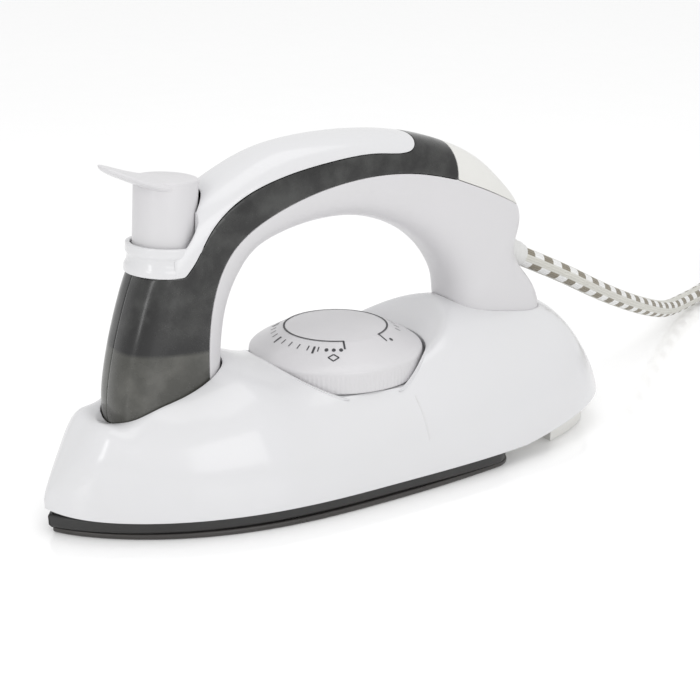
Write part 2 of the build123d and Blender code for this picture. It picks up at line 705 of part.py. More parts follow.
def top_cover():
    """Gloss cover over the arch with the button's collar."""
    cover = (HANDLE & thicken(cover_region(), 20)) - handle_core(1, 1) - button_notch()
    collar = leaning_post(COLLAR_BASE - 3, COLLAR_BASE + COLLAR_HEIGHT, COLLAR_RADIUS)
    collar += leaning_post(COLLAR_BASE, COLLAR_BASE + 13, COLLAR_RADIUS) & block(
        at(60), at(BUTTON_STATION + 4), -20, 20, COLLAR_BASE, 100)
    collar &= block(at(60), at(10), -20, 20, COLLAR_BASE, 100)
    return cover + (collar - thicken(tank_region(), 20)) - BUTTON_PATH


def rear_cap():
    return (HANDLE & thicken(cap_region(), 20)) - handle_core(1, 1)


def handle_shell():
    """White shell under the arch, down the front strip and the rear leg."""
    shell = HANDLE - thicken(tank_region(), 20) - thicken(cover_region(), 20) - thicken(cap_region(), 20)
    shell -= handle_core(FRONT_LEG_FOOT + 3, REAR_LEG_FOOT + 3)
    shell += post(LEG_SCREW_X, 0, REAR_LEG_FOOT, REAR_LEG_FOOT + 13, 4.5)
    shell -= bush_part(-BUSH_LENGTH, -BUSH_LENGTH + 3, 8, 8) + bush_part(-BUSH_LENGTH + 3, 0, 6.4, 4.6)
    shell -= bush_part(0, 14, CORD_RADIUS + FIT, CORD_RADIUS + 2 * FIT)
    shell -= block(rear(148), rear(138), -7.5, 7.5, REAR_LEG_FOOT - 1, REAR_LEG_FOOT + 6)
    return shell - leg_screw() - BUTTON_PATH


def valve_seat():
    """Silicone seat between the tank's outlet and the steam chamber's inlet."""
    seat = leaning_post(CAST_TOP - 2, FRONT_LEG_FOOT + 3, 5)
    seat &= block(at(60), at(10), -10, 10, CAST_TOP + LID_THICK, FRONT_LEG_FOOT)
    return seat - leaning_post(0, 40, STEM_RADIUS + RUNNING)


def stem_seal():
    ring = leaning_post(WELL_FLOOR, WELL_FLOOR + 1.5, 3.2)
    return ring - leaning_post(WELL_FLOOR - 2, WELL_FLOOR + 4, STEM_RADIUS + RUNNING)


def valve_stem():
    """Rod from the button down to the valve's seat, with a pointed foot."""
    rod = leaning_post(STEM_FOOT, COLLAR_BASE + 4, STEM_RADIUS)
    return rod - (lean(STEM_FOOT) * Pos(0, 0, 1) * (Cylinder(3, 2) - Cone(0.8, STEM_RADIUS, 2)))


def steam_button():
    """Hollow button with its plunger and a thumb lip that points forward."""
    barrel = leaning_post(BUTTON_SKIRT, BUTTON_TOP, BUTTON_RADIUS)
    barrel -= leaning_post(BUTTON_SKIRT - 1, BUTTON_TOP - 2, BUTTON_RADIUS - 1.8)
    barrel += leaning_post(PLUNGER_FOOT, BUTTON_TOP - 1, PLUNGER_RADIUS)
    under = Spline((0, 0, -4.2), (BUTTON_RADIUS, 0, -3), (LIP_REACH, 0, 4.6 - LIP_THICK / 2),
                   tangents=((1, 0, 0), (1, 0, 0.9)))
    over = Spline((0, 0, 0), (BUTTON_RADIUS * 0.8, 0, 0.1), (LIP_REACH, 0, 4.6 + LIP_THICK / 2),
                  tangents=((1, 0, 0), (1, 0, 0.7)))
    face = make_face(under + over + Line(under @ 0, over @ 0) + Line(under @ 1, over @ 1))
    tongue = extrude(Pos(0, -BUTTON_RADIUS, 0) * face, 2 * BUTTON_RADIUS, dir=(0, 1, 0))
    tongue &= slab(tongue_outline(), -8, 14)
    return barrel + lean(BUTTON_TOP) * tongue - valve_stem()


def tongue_outline():
    """Plan of the lip: as wide as the button, narrowing to a round tip."""
    half = BUTTON_RADIUS - 0.4
    side = Spline((0, half, 0), (LIP_REACH * 0.6, half * 0.72, 0), (LIP_REACH, 0, 0), (LIP_REACH * 0.6, -half * 0.72, 0),
                  (0, -half, 0), tangents=((1, 0, 0), (-1, 0, 0)))
    return make_face(side + Line(side @ 1, side @ 0))


def return_spring():
    """Coil spring between the well's floor and the plunger."""
    low = WELL_FLOOR + SPRING_WIRE
    high = PLUNGER_FOOT - SPRING_WIRE
    helix = Helix((high - low) / SPRING_TURNS, high - low, SPRING_RADIUS)
    coil = sweep(Plane(origin=helix @ 0, z_dir=helix % 0) * Circle(SPRING_WIRE), helix, is_frenet=True)
    return lean(low) * coil


# ---------------------------------------------------------------- lead, coil and plug

CORD_POINTS = [(-88.5, -1, 47.4), (-109.5, -6, 36.5), (-132.5, -15, 26), (-154.5, -25.5, 17),
               (-176.5, -38, 9), (-198.5, -51, 5), (-221, -61, 3.5), (-241, -72, 3.7), (-254, -81, 3.95)]
LEAD_POINTS = [(-325.5, -46, 9.5), (-327, -34, 13), (-328, -24, 17), (-328.2, -17, 18.5)]


def corner_radii(points):
    """Largest sensible arc at each inner point of a route."""
    radii = []
    for before, corner, after in zip(points, points[1:], points[2:]):
        first, second = Vector(corner) - Vector(before), Vector(after) - Vector(corner)
        half_turn = math.radians(first.get_angle(second)) / 2
        radii.append(0.45 * min(first.length, second.length) / math.tan(half_turn))
    return radii


def cord_tube(points):
    """Tube of the lead along a route of straight runs and tangent arcs."""
    radii = corner_radii(points)
    path = FilletPolyline(*points, radius=radii)
    solid = tube(path, CORD_RADIUS)
    expected = math.pi * CORD_RADIUS**2 * path.length
    print("route", round(path.length, 1), "radii", [round(r) for r in radii], "volume ratio",
          round(solid.volume / expected, 4))
    return solid, path.length


def cord_coil():
    """Outer shape of the coiled length."""
    width, height = COIL_WIDE * 2 * CORD_RADIUS, COIL_HIGH * 2 * CORD_RADIUS
    ring = Cylinder(COIL_RADIUS + width / 2, height) - Cylinder(COIL_RADIUS - width / 2, height + 2)
    return Pos(*COIL_CENTRE, height / 2 + TIE_THICK + 0.1) * ring


def cord_tie():
    """Strap round the coil's section that holds the turns together."""
    half = COIL_WIDE * CORD_RADIUS + TIE_THICK
    x, y = COIL_CENTRE[0], COIL_CENTRE[1] + COIL_RADIUS
    top = COIL_HIGH * 2 * CORD_RADIUS + 2 * TIE_THICK + 0.1
    return block(x - 3, x + 3, y - half, y + half, 0.1, top) - cord_coil()


PLUG_START = Vector(*LEAD_POINTS[-1])


def plug_bar(start, end, first, last):
    """Tapered round bar along the plug's axis, which points along +Y."""
    low, high = (Plane(origin=PLUG_START + Vector(0, d, 0), z_dir=(0, 1, 0)) for d in (start, end))
    return loft([low * Circle(first), high * Circle(last)])


def plug_body():
    """Round two-pin plug with a tapered tail and side contacts' grooves."""
    body = plug_bar(0, PLUG_TAIL, CORD_RADIUS + 1.2, 11) + plug_bar(
        PLUG_TAIL, PLUG_TAIL + PLUG_DEPTH, PLUG_RADIUS, PLUG_RADIUS)
    return body - plug_pins() - plug_earth_clips()


def plug_pins():
    """Two round pins on thinner shanks that are moulded into the plug."""
    face = PLUG_TAIL + PLUG_DEPTH
    root = face + PIN_NECK
    pin = plug_bar(root, root + PIN_LENGTH, PIN_RADIUS, PIN_RADIUS)
    pin += plug_bar(face - PIN_SHANK, root, PIN_RADIUS - PIN_NECK, PIN_RADIUS - PIN_NECK)
    return [Pos(side * PIN_SPACING / 2, 0, 0) * pin for side in (1, -1)]


def plug_earth_clips():
    """Side earth contacts let into the plug's rim."""
    start = PLUG_START + Vector(0, PLUG_TAIL + 6, 0)
    clips = []
    for side in (1, -1):
        z = start.Z + side * (PLUG_RADIUS - 1.2)
        clips.append(block(start.X - 2, start.X + 2, start.Y, start.Y + PLUG_DEPTH - 6, z - 0.8, z + 0.8))
    return clips


def main():
    tank = water_tank()
    exit_point = bush_point(0)
    lead, lead_length = cord_tube([tuple(exit_point), *CORD_POINTS])
    plug_lead, plug_lead_length = cord_tube(LEAD_POINTS)
    coiled = math.tau * COIL_RADIUS * COIL_TURNS
    print("lead", round(lead_length + coiled + plug_lead_length), "of", CORD_LENGTH)
    nodes = {
        "soleplate": soleplate(), "heater_casting": heater_casting(), "heating_element": heating_element(),
        "chamber_lid": chamber_lid(), "lid_screws": lid_screws(), "heat_shield": heat_shield(),
        "shield_screws": shield_screws(), "heat_skirt": heat_skirt(), "body_shell": body_shell(),
        "heel_cover": heel_cover(), "heel_foot": heel_foot(), "heel_screws": heel_screws(),
        "leg_screw": leg_screw(), "thermostat_stack": thermostat_stack(), "bimetal_strip": bimetal_strip(),
        "contact_leaf": contact_leaf(), "thermostat_bracket": thermostat_bracket(),
        "thermostat_spindle": thermostat_spindle(), "dial": dial(), "thermal_fuse": thermal_fuse(),
        "fuse_clip": fuse_clip(), "terminal_block": terminal_block(), "terminal_screws": terminal_screws(),
        "earth_lug": earth_lug(), "earth_screw": earth_screw(), "live_wire": live_wire(),
        "neutral_wire": neutral_wire(), "link_wire": link_wire(), "earth_wire": earth_wire(),
        "lead_cores": lead_cores(), "cord_bush": cord_bush(), "tank_left": half_of(tank, 1),
        "tank_right": half_of(tank, -1), "top_cover": top_cover(), "rear_cap": rear_cap(),
        "handle_shell": handle_shell(), "valve_seat": valve_seat(), "stem_seal": stem_seal(),
        "valve_stem": valve_stem(), "steam_button": steam_button(), "return_spring": return_spring(),
        "mains_cord": lead, "cord_coil": cord_coil(), "plug_lead": plug_lead, "plug_body": plug_body(),
        "plug_pins": plug_pins(), "plug_earth_clips": plug_earth_clips(), "cord_tie": cord_tie(),
    }
    for name, shape in nodes.items():
        write(name, shape)


main()
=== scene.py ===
import json
import math

import bmesh
import bpy
import numpy as np
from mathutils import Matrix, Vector
from mathutils.bvhtree import BVHTree


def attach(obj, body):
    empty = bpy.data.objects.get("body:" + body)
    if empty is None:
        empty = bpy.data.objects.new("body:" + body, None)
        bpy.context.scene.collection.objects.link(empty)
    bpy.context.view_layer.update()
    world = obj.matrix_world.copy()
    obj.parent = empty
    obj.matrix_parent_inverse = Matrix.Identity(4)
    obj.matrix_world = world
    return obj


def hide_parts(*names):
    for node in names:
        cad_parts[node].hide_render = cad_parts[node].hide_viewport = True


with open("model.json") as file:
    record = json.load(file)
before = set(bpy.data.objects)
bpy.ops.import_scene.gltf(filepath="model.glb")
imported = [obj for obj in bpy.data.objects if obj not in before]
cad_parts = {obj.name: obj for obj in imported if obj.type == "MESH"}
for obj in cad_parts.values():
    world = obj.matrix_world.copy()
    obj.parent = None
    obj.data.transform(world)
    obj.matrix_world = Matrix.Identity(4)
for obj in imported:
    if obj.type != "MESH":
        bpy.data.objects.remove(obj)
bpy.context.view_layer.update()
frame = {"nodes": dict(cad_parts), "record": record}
scene = bpy.context.scene
NODES = frame["nodes"]
SLOT_OF = {part["node"]: part["material_slot"] for part in frame["record"]["subparts"]}
MM = 0.001
NOSE_X = 95.5        # row X, in mm, of station 0; stations run back from the tip of the sole


# ---------------------------------------------------------------- numbers

def cubic(knots, values, at):
    """Natural cubic spline through the values at the knots, evaluated at an array."""
    knots = np.asarray(knots, float)
    values = np.asarray(values, float).reshape(len(knots), -1)
    n = len(knots)
    h = np.diff(knots)
    system = np.zeros((n, n))
    right = np.zeros((n, values.shape[1]))
    system[0, 0] = system[-1, -1] = 1
    for i in range(1, n - 1):
        system[i, i - 1] = h[i - 1]
        system[i, i] = 2 * (h[i - 1] + h[i])
        system[i, i + 1] = h[i]
        right[i] = 6 * ((values[i + 1] - values[i]) / h[i] - (values[i] - values[i - 1]) / h[i - 1])
    bend = np.linalg.solve(system, right)
    at = np.asarray(at, float)
    i = np.clip(np.searchsorted(knots, at) - 1, 0, n - 2)
    a = ((knots[i + 1] - at) / h[i])[:, None]
    b = 1 - a
    hh = (h[i] ** 2)[:, None]
    out = a * values[i] + b * values[i + 1] + ((a**3 - a) * bend[i] + (b**3 - b) * bend[i + 1]) * hh / 6
    return out if out.shape[1] > 1 else out[:, 0]


def line_through(points, count):
    """Smooth line through 2-D or 3-D points."""
    points = np.asarray(points, float)
    run = np.r_[0, np.cumsum(np.linalg.norm(np.diff(points, axis=0), axis=1))]
    return cubic(run, points, np.linspace(0, run[-1], count))


def signed_distance(points, polygon):
    """Distance of 2-D points to a closed polygon, positive inside."""
    best = np.full(len(points), 1e9)
    inside = np.zeros(len(points), bool)
    following = np.roll(polygon, -1, axis=0)
    for a, b in zip(polygon, following):
        d = b - a
        length = d @ d
        if length < 1e-12:
            continue
        t = np.clip(((points - a) @ d) / length, 0, 1)
        best = np.minimum(best, np.linalg.norm(points - a - t[:, None] * d, axis=1))
        crosses = (a[1] > points[:, 1]) != (b[1] > points[:, 1])
        if abs(d[1]) > 1e-12:
            inside ^= crosses & (points[:, 0] < a[0] + d[0] * (points[:, 1] - a[1]) / d[1])
    return np.where(inside, best, -best)


# ---------------------------------------------------------------- meshes

def grid_faces(rows, columns, closed=False):
    """Quads of a grid of points; closed joins the last column to the first."""
    faces = []
    last = columns if closed else columns - 1
    for i in range(rows - 1):
        for j in range(last):
            k = (j + 1) % columns
            faces.append((i * columns + j, i * columns + k, (i + 1) * columns + k, (i + 1) * columns + j))
    return faces


def tube_faces(rows, columns):
    """Quads of closed rings of points, with both ends capped."""
    faces = grid_faces(rows, columns, closed=True)
    faces.append(tuple(reversed(range(columns))))
    faces.append(tuple(range((rows - 1) * columns, rows * columns)))
    return faces


def clip(points, faces, field, snap=0.33):
    """The part of a mesh where field(points) is positive, with its new edge on the zero line."""
    points = np.array(points, float)
    value = np.array(field(points), float)
    pairs = {}
    for face in faces:
        for i, a in enumerate(face):
            b = face[(i + 1) % len(face)]
            if value[a] * value[b] < 0:
                pairs[(min(a, b), max(a, b))] = None
    nearest = {}
    for a, b in pairs:
        t = value[a] / (value[a] - value[b])
        if t < snap and t < nearest.get(a, (1, None))[0]:
            nearest[a] = (t, points[a] + t * (points[b] - points[a]))
        if 1 - t < snap and 1 - t < nearest.get(b, (1, None))[0]:
            nearest[b] = (1 - t, points[a] + t * (points[b] - points[a]))
    for v, (t, place) in nearest.items():
        points[v] = place
        value[v] = 0
    made, new_points, kept = {}, list(points), []
    for face in faces:
        signs = [value[v] for v in face]
        if max(signs) <= 0:
            continue
        if min(signs) >= 0:
            kept.append(tuple(face))
            continue
        polygon = []
        for i, a in enumerate(face):
            b = face[(i + 1) % len(face)]
            if value[a] >= 0:
                polygon.append(a)
            if value[a] * value[b] < 0:
                key = (min(a, b), max(a, b))
                if key not in made:
                    t = value[key[0]] / (value[key[0]] - value[key[1]])
                    made[key] = len(new_points)
                    new_points.append(points[key[0]] + t * (points[key[1]] - points[key[0]]))
                polygon.append(made[key])
        if len(polygon) > 2:
            kept.append(tuple(polygon))
    used = sorted({v for face in kept for v in face})
    number = {v: i for i, v in enumerate(used)}
    return np.array([new_points[v] for v in used]), [tuple(number[v] for v in face) for face in kept]


def joined(*parts):
    """Several (points, faces) as one."""
    points, faces = [], []
    for more_points, more_faces in parts:
        start = sum(len(p) for p in points)
        points.append(np.asarray(more_points, float))
        faces += [tuple(v + start for v in face) for face in more_faces]
    return np.concatenate(points), faces


def build(name, points, faces, material, body="iron", stands_for=(), slot=None, sharp=35.0, thick=0.0,
          bevel=0.0):
    """A piece from points in millimetres, riding on a body; thick makes a skin into a wall."""
    mesh = bpy.data.meshes.new(name)
    mesh.from_pydata((np.asarray(points, float) * MM).tolist(), [], [list(f) for f in faces])
    mesh.validate()
    if not thick:
        work = bmesh.new()
        work.from_mesh(mesh)
        bmesh.ops.remove_doubles(work, verts=work.verts, dist=0.000002)
        bmesh.ops.recalc_face_normals(work, faces=work.faces)
        work.to_mesh(mesh)
        work.free()
    piece = bpy.data.objects.new(name, mesh)
    scene.collection.objects.link(piece)
    if thick:
        step = piece.modifiers.new("wall", "SOLIDIFY")
        step.thickness = thick * MM
        step.offset = -1
        step.use_even_offset = False
    if bevel:
        step = piece.modifiers.new("edge", "BEVEL")
        step.width = bevel * MM
        step.segments = 2
        step.limit_method = "ANGLE"
        step.angle_limit = math.radians(50)
        step.use_clamp_overlap = True
    if thick or bevel:
        bpy.context.view_layer.update()
        solid = bpy.data.meshes.new_from_object(piece.evaluated_get(bpy.context.evaluated_depsgraph_get()))
        piece.modifiers.clear()
        piece.data = solid
        solid.name = name
    piece.data.shade_smooth()
    piece.data.set_sharp_from_angle(angle=math.radians(sharp))
    piece.data.materials.clear()
    piece.data.materials.append(material)
    if stands_for:
        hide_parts(*stands_for)
        slot = slot or SLOT_OF[stands_for[0]]
    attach(piece, body)
    return piece


def lathe(profile, segments, centre=(0, 0), ripple=None):
    """Surface of revolution about a vertical axis; ripple(radius, height, angles) may change the radius."""
    angles = np.arange(segments) * 2 * math.pi / segments
    points = []
    for radius, height in profile:
        r = np.full(segments, float(radius)) if ripple is None else ripple(radius, height, angles)
        points.append(np.stack([centre[0] + r * np.cos(angles), centre[1] + r * np.sin(angles),
                                np.full(segments, float(height))], axis=1))
    faces = grid_faces(len(profile), segments, closed=True)
    if profile[0][0] > 0.01:
        faces.append(tuple(reversed(range(segments))))
    start = (len(profile) - 1) * segments
    if profile[-1][0] > 0.01:
        faces.append(tuple(range(start, start + segments)))
    return np.concatenate(points), faces


# ---------------------------------------------------------------- materials

def nodes_of(name):
    """A new material, its nodes and its shader."""
    material = bpy.data.materials.new(name)
    material.use_nodes = True
    tree = material.node_tree
    return material, tree, tree.nodes["Principled BSDF"]


def maths(tree, operation, *values):
    """Math node; each value is a socket or a number."""
    step = tree.nodes.new("ShaderNodeMath")
    step.operation = operation
    for socket, value in zip(step.inputs, values):
        if isinstance(value, (int, float)):
            socket.default_value = value
        else:
            tree.links.new(value, socket)
    return step.outputs["Value"]


def noise(tree, scale, detail=3.0, rough=0.55, vector=None):
    texture = tree.nodes.new("ShaderNodeTexNoise")
    texture.inputs["Scale"].default_value = scale
    texture.inputs["Detail"].default_value = detail
    texture.inputs["Roughness"].default_value = rough
    if vector is None:
        vector = tree.nodes.new("ShaderNodeTexCoord").outputs["Object"]
    tree.links.new(vector, texture.inputs["Vector"])
    return texture.outputs["Fac"]


def ranged(tree, value, low, high, start=0.3, end=0.7):
    step = tree.nodes.new("ShaderNodeMapRange")
    step.inputs["From Min"].default_value = start
    step.inputs["From Max"].default_value = end
    step.inputs["To Min"].default_value = low
    step.inputs["To Max"].default_value = high
    tree.links.new(value, step.inputs["Value"])
    return step.outputs["Result"]


def mixed(tree, factor, first, second):
    step = tree.nodes.new("ShaderNodeMix")
    step.data_type = "RGBA"
    tree.links.new(factor, step.inputs["Factor"])
    for socket, value in (("A", first), ("B", second)):
        target = [s for s in step.inputs if s.name == socket and s.type == "RGBA"][0]
        if isinstance(value, tuple):
            target.default_value = (*value, 1)
        else:
            tree.links.new(value, target)
    return [s for s in step.outputs if s.type == "RGBA"][0]


def bump(tree, shader, height, strength, distance):
    step = tree.nodes.new("ShaderNodeBump")
    step.inputs["Strength"].default_value = strength
    step.inputs["Distance"].default_value = distance
    tree.links.new(height, step.inputs["Height"])
    tree.links.new(step.outputs["Normal"], shader.inputs["Normal"])


GRAIN_DEPTH = 0.00002            # metres


def finish(name, colour, other, rough, metallic=0.0, coat=0.0, grain=900.0, strength=0.15):
    """Procedural finish: two close colours, uneven roughness and a fine surface."""
    material, tree, shader = nodes_of(name)
    factor = ranged(tree, noise(tree, 35.0), 0.0, 1.0)
    tree.links.new(mixed(tree, factor, colour, other), shader.inputs["Base Color"])
    uneven = ranged(tree, noise(tree, 140.0, 4.0), rough * 0.88, rough * 1.12)
    tree.links.new(uneven, shader.inputs["Roughness"])
    shader.inputs["Metallic"].default_value = metallic
    shader.inputs["Coat Weight"].default_value = coat
    shader.inputs["Coat Roughness"].default_value = 0.06
    bump(tree, shader, noise(tree, grain, 2.0), strength, GRAIN_DEPTH)
    return material


WATER_SLOPE = -0.08              # the water's surface leans a little along the iron
WATER_LINE = (0.0440, 0.0452)    # heights in metres between which the water ends
DARK_BAND = (0.0465, 0.0520)     # and between which the band above it gives way to the murky top


def tank_finish():
    """Smoked tank plastic: nearly black above the water line, paler and greener below it."""
    material, tree, shader = nodes_of("smoked_tank")
    place = tree.nodes.new("ShaderNodeTexCoord").outputs["Object"]
    parts = tree.nodes.new("ShaderNodeSeparateXYZ")
    tree.links.new(place, parts.inputs["Vector"])
    level = maths(tree, "MULTIPLY_ADD", parts.outputs["X"], WATER_SLOPE, parts.outputs["Z"])
    above = ranged(tree, level, 0.0, 1.0, *WATER_LINE)
    clear = ranged(tree, level, 0.0, 1.0, *DARK_BAND)
    cloud = ranged(tree, noise(tree, 95.0, 5.0, 0.6, vector=place), 0.0, 1.0, 0.42, 0.66)
    low = mixed(tree, cloud, (0.050, 0.050, 0.043), (0.090, 0.089, 0.079))
    dark = mixed(tree, cloud, (0.0035, 0.0035, 0.004), (0.009, 0.009, 0.010))
    murk = mixed(tree, cloud, (0.006, 0.006, 0.006), (0.038, 0.039, 0.037))
    high = mixed(tree, clear, dark, murk)
    tree.links.new(mixed(tree, above, low, high), shader.inputs["Base Color"])
    tree.links.new(ranged(tree, noise(tree, 180.0, 4.0, vector=place), 0.2, 0.32), shader.inputs["Roughness"])
    shader.inputs["Coat Weight"].default_value = 0.25
    shader.inputs["Coat Roughness"].default_value = 0.1
    shader.inputs["IOR"].default_value = 1.5
    bump(tree, shader, noise(tree, 500.0, 2.0, vector=place), 0.1, GRAIN_DEPTH)
    return material


CHECK_PITCH = 9.4                # mm from one dark check to the next
THREAD_PITCH = 0.9               # mm between crossings of the threads


def braid_finish():
    """Woven sleeve: pale carrier threads crossed by checks of grey-beige ones, with painted shade darkening
    the weave's hollows.
    """
    material, tree, shader = nodes_of("braid")
    uv = tree.nodes.new("ShaderNodeTexCoord").outputs["UV"]
    parts = tree.nodes.new("ShaderNodeSeparateXYZ")
    tree.links.new(uv, parts.inputs["Vector"])

    # U counts millimetres along the lead, V goes once round it
    turn = 2 * math.pi
    soft = 0.12
    edge = (0.62, 0.74)

    def wave(along, around):
        run = maths(tree, "MULTIPLY", parts.outputs["X"], along)
        return maths(tree, "SINE", maths(tree, "MULTIPLY_ADD", parts.outputs["Y"], around, run))

    along = wave(turn / CHECK_PITCH, 0)
    around = wave(0, 2 * turn)
    odd = ranged(tree, along, 0.0, 1.0, -soft, soft)
    even = ranged(tree, along, 1.0, 0.0, -soft, soft)
    near = ranged(tree, around, 0.0, 1.0, *edge)
    far = ranged(tree, around, 1.0, 0.0, -edge[1], -edge[0])

    def checks(first, second):
        """Checks of one kind on the near stripes and of the other on the far ones."""
        first_side = maths(tree, "MULTIPLY", first, near)
        return maths(tree, "MAXIMUM", first_side, maths(tree, "MULTIPLY", second, far))

    # painted shade: each thread colour is mixed darker where the weave's height (also used for the bump) is
    # low, in its hollows
    thread = maths(tree, "MULTIPLY", wave(turn / THREAD_PITCH, 12 * turn),
                   wave(turn / THREAD_PITCH, -12 * turn))
    shade = ranged(tree, thread, 0.0, 1.0, -0.8, 0.8)
    pale = mixed(tree, shade, (0.60, 0.59, 0.53), (0.72, 0.71, 0.66))
    white = mixed(tree, shade, (0.80, 0.80, 0.79), (0.92, 0.92, 0.91))
    dark = mixed(tree, shade, (0.17, 0.145, 0.10), (0.27, 0.235, 0.17))
    ground = mixed(tree, checks(even, odd), pale, white)
    tree.links.new(mixed(tree, checks(odd, even), ground, dark), shader.inputs["Base Color"])
    shader.inputs["Roughness"].default_value = 0.85
    shader.inputs["Sheen Weight"].default_value = 0.35
    bump(tree, shader, thread, 0.8, 0.00012)
    return material


WHITE = finish("white_gloss", (0.70, 0.70, 0.715), (0.69, 0.69, 0.70), 0.2, coat=0.35, grain=700,
               strength=0.05)
SATIN = finish("white_satin", (0.66, 0.65, 0.665), (0.645, 0.64, 0.65), 0.36, coat=0.1, grain=1600,
               strength=0.12)
CREAM = finish("cream_plastic", (0.74, 0.735, 0.71), (0.725, 0.72, 0.69), 0.32, coat=0.12,
               grain=1500, strength=0.12)
TANK = tank_finish()
BRAID = braid_finish()
# painted shade: the skirt's own dark grey is made nearly black, standing in for the shade under the housing's
# lower edge
SKIRT_AND_SHADE = finish("dark_skirt", (0.018, 0.018, 0.018), (0.030, 0.029, 0.028), 0.45, grain=1500, strength=0.3)
SOLE = finish("sole_coating", (0.045, 0.042, 0.040), (0.062, 0.058, 0.055), 0.3, metallic=0.25, grain=2200,
              strength=0.3)
INK = finish("print_ink", (0.045, 0.045, 0.05), (0.06, 0.06, 0.065), 0.5)
BY_SLOT = {
    "white_gloss": WHITE, "white_satin": SATIN, "cream_plastic": CREAM, "smoked_tank": TANK, "braid": BRAID,
    "dark_skirt": SKIRT_AND_SHADE, "sole_coating": SOLE,
    "casting": finish("casting", (0.52, 0.53, 0.54), (0.6, 0.6, 0.61), 0.5, 0.9, grain=1200, strength=0.5),
    "element_sheath": finish("element_sheath", (0.2, 0.2, 0.21), (0.27, 0.25, 0.24), 0.45, 0.8),
    "steel": finish("steel", (0.56, 0.57, 0.58), (0.62, 0.62, 0.63), 0.3, 1.0, grain=2500, strength=0.2),
    "ceramic": finish("ceramic", (0.72, 0.69, 0.62), (0.78, 0.75, 0.69), 0.7, grain=1800, strength=0.4),
    "brass": finish("brass", (0.72, 0.52, 0.22), (0.78, 0.6, 0.3), 0.3, 1.0, grain=2000, strength=0.15),
    "wire_brown": finish("wire_brown", (0.16, 0.06, 0.03), (0.2, 0.08, 0.04), 0.5, grain=1500),
    "wire_blue": finish("wire_blue", (0.03, 0.09, 0.42), (0.05, 0.12, 0.48), 0.5, grain=1500),
    "wire_green": finish("wire_green", (0.12, 0.4, 0.06), (0.16, 0.46, 0.08), 0.5, grain=1500),
    "white_rubber": finish("white_rubber", (0.7, 0.7, 0.69), (0.64, 0.64, 0.63), 0.6, grain=1300,
                           strength=0.3),
    "silicone": finish("silicone", (0.55, 0.14, 0.09), (0.6, 0.18, 0.12), 0.55, grain=1400),
    "chrome_metal": finish("chrome_metal", (0.78, 0.78, 0.79), (0.7, 0.7, 0.71), 0.14, 1.0, grain=2500),
}
for node_name, node in NODES.items():
    node.data.materials.clear()
    node.data.materials.append(BY_SLOT[SLOT_OF[node_name]])
    node.data.shade_smooth()
    node.data.set_sharp_from_angle(angle=math.radians(30))


# ---------------------------------------------------------------- camera, light, floor

camera_data = bpy.data.cameras.new("camera")
camera_data.lens = 77.14
camera_data.sensor_width = 36
camera = bpy.data.objects.new("camera", camera_data)
camera.location = (0.23383, 0.36631, 0.1860)
camera.rotation_euler = Vector((-0.5150, -0.7930, -0.3256)).to_track_quat("-Z", "Y").to_euler()
scene.collection.objects.link(camera)
scene.camera = camera


def softbox(name, place, aim, size, power, tall=None):
    data = bpy.data.lights.new(name, "AREA")
    data.shape = "RECTANGLE"
    data.size = size
    data.size_y = tall or size
    data.energy = power
    light = bpy.data.objects.new(name, data)
    light.location = place
    light.rotation_euler = (Vector(aim) - Vector(place)).to_track_quat("-Z", "Y").to_euler()
    scene.collection.objects.link(light)


softbox("key", (-0.05, 0.1, 0.9), (0, 0, 0.04), 0.7, 1.6)
softbox("front", (0.62, 0.22, 0.30), (0.06, 0, 0.03), 0.10, 0.5, tall=0.45)
softbox("side", (0.1, 0.9, 0.35), (0, 0, 0.05), 0.5, 1.2)
world = bpy.data.worlds.new("studio")
world.use_nodes = True
world.node_tree.nodes["Background"].inputs["Color"].default_value = (1, 1, 1, 1)
world.node_tree.nodes["Background"].inputs["Strength"].default_value = 0.86
scene.world = world
scene.view_settings.view_transform = "Standard"

floor_mesh = bpy.data.meshes.new("floor")
floor_mesh.from_pydata([(-4, -4, 0), (4, -4, 0), (4, 4, 0), (-4, 4, 0)], [], [(0, 1, 2, 3)])
floor = bpy.data.objects.new("floor", floor_mesh)
scene.collection.objects.link(floor)
floor_mesh.materials.append(finish("floor_gloss", (0.96, 0.96, 0.96), (0.95, 0.95, 0.95), 0.12,
                                   grain=60, strength=0.01))
shade = floor_mesh.materials[0].node_tree.nodes["Principled BSDF"]
shade.inputs["Emission Color"].default_value = (1, 1, 1, 1)
shade.inputs["Emission Strength"].default_value = 0.10


# ---------------------------------------------------------------- mains lead

EXIT = (-69.5, 0.0, 56.2)
ROUTE = [(-88.5, -1, 47.4), (-109.5, -6, 36.5), (-132.5, -15, 26), (-154.5, -25.5, 17), (-176.5, -38, 9),
         (-198.5, -51, 5), (-221, -61, 3.5), (-241, -72, 3.7), (-254, -81, 3.95)]
LEAD_OUT = [(-333.5, -43, 11.6), (-330.5, -31, 15.2), (-328.6, -23, 17.8), (-328.2, -17, 18.5)]
COIL_X, COIL_Y = -290.5, -54.0
CORD_RADIUS = 3.25
COIL_LOW = 3.95         # height of the lower layer
COIL_TURNS = 7.3
COIL_INNER = 23.2       # radius of the innermost turn
COIL_MIDDLE = 3.772     # turns before the coil starts out again
COIL_START = math.radians(-60)
POINTS_PER_TURN = 24


def coil_points():
    """Turns of the coil: in towards its middle on the floor, up, and out again on top of them."""
    ways = []
    steps = int(COIL_TURNS * POINTS_PER_TURN)
    swell = 1 / math.cos(math.pi / POINTS_PER_TURN)
    for i in range(steps + 1):
        turned = COIL_TURNS * i / steps
        angle = COIL_START - 2 * math.pi * turned
        radius = (COIL_INNER + 2 * CORD_RADIUS * math.sqrt((turned - COIL_MIDDLE) ** 2 + 0.02)) * swell
        climb = min(max((turned - 3.42) / 0.66, 0), 1)
        height = COIL_LOW + 2 * CORD_RADIUS * climb * climb * (3 - 2 * climb)
        ways.append((COIL_X + radius * math.cos(angle), COIL_Y + radius * math.sin(angle), height))
    return ways


COIL = coil_points()
LEAD = [EXIT] + ROUTE + COIL + LEAD_OUT


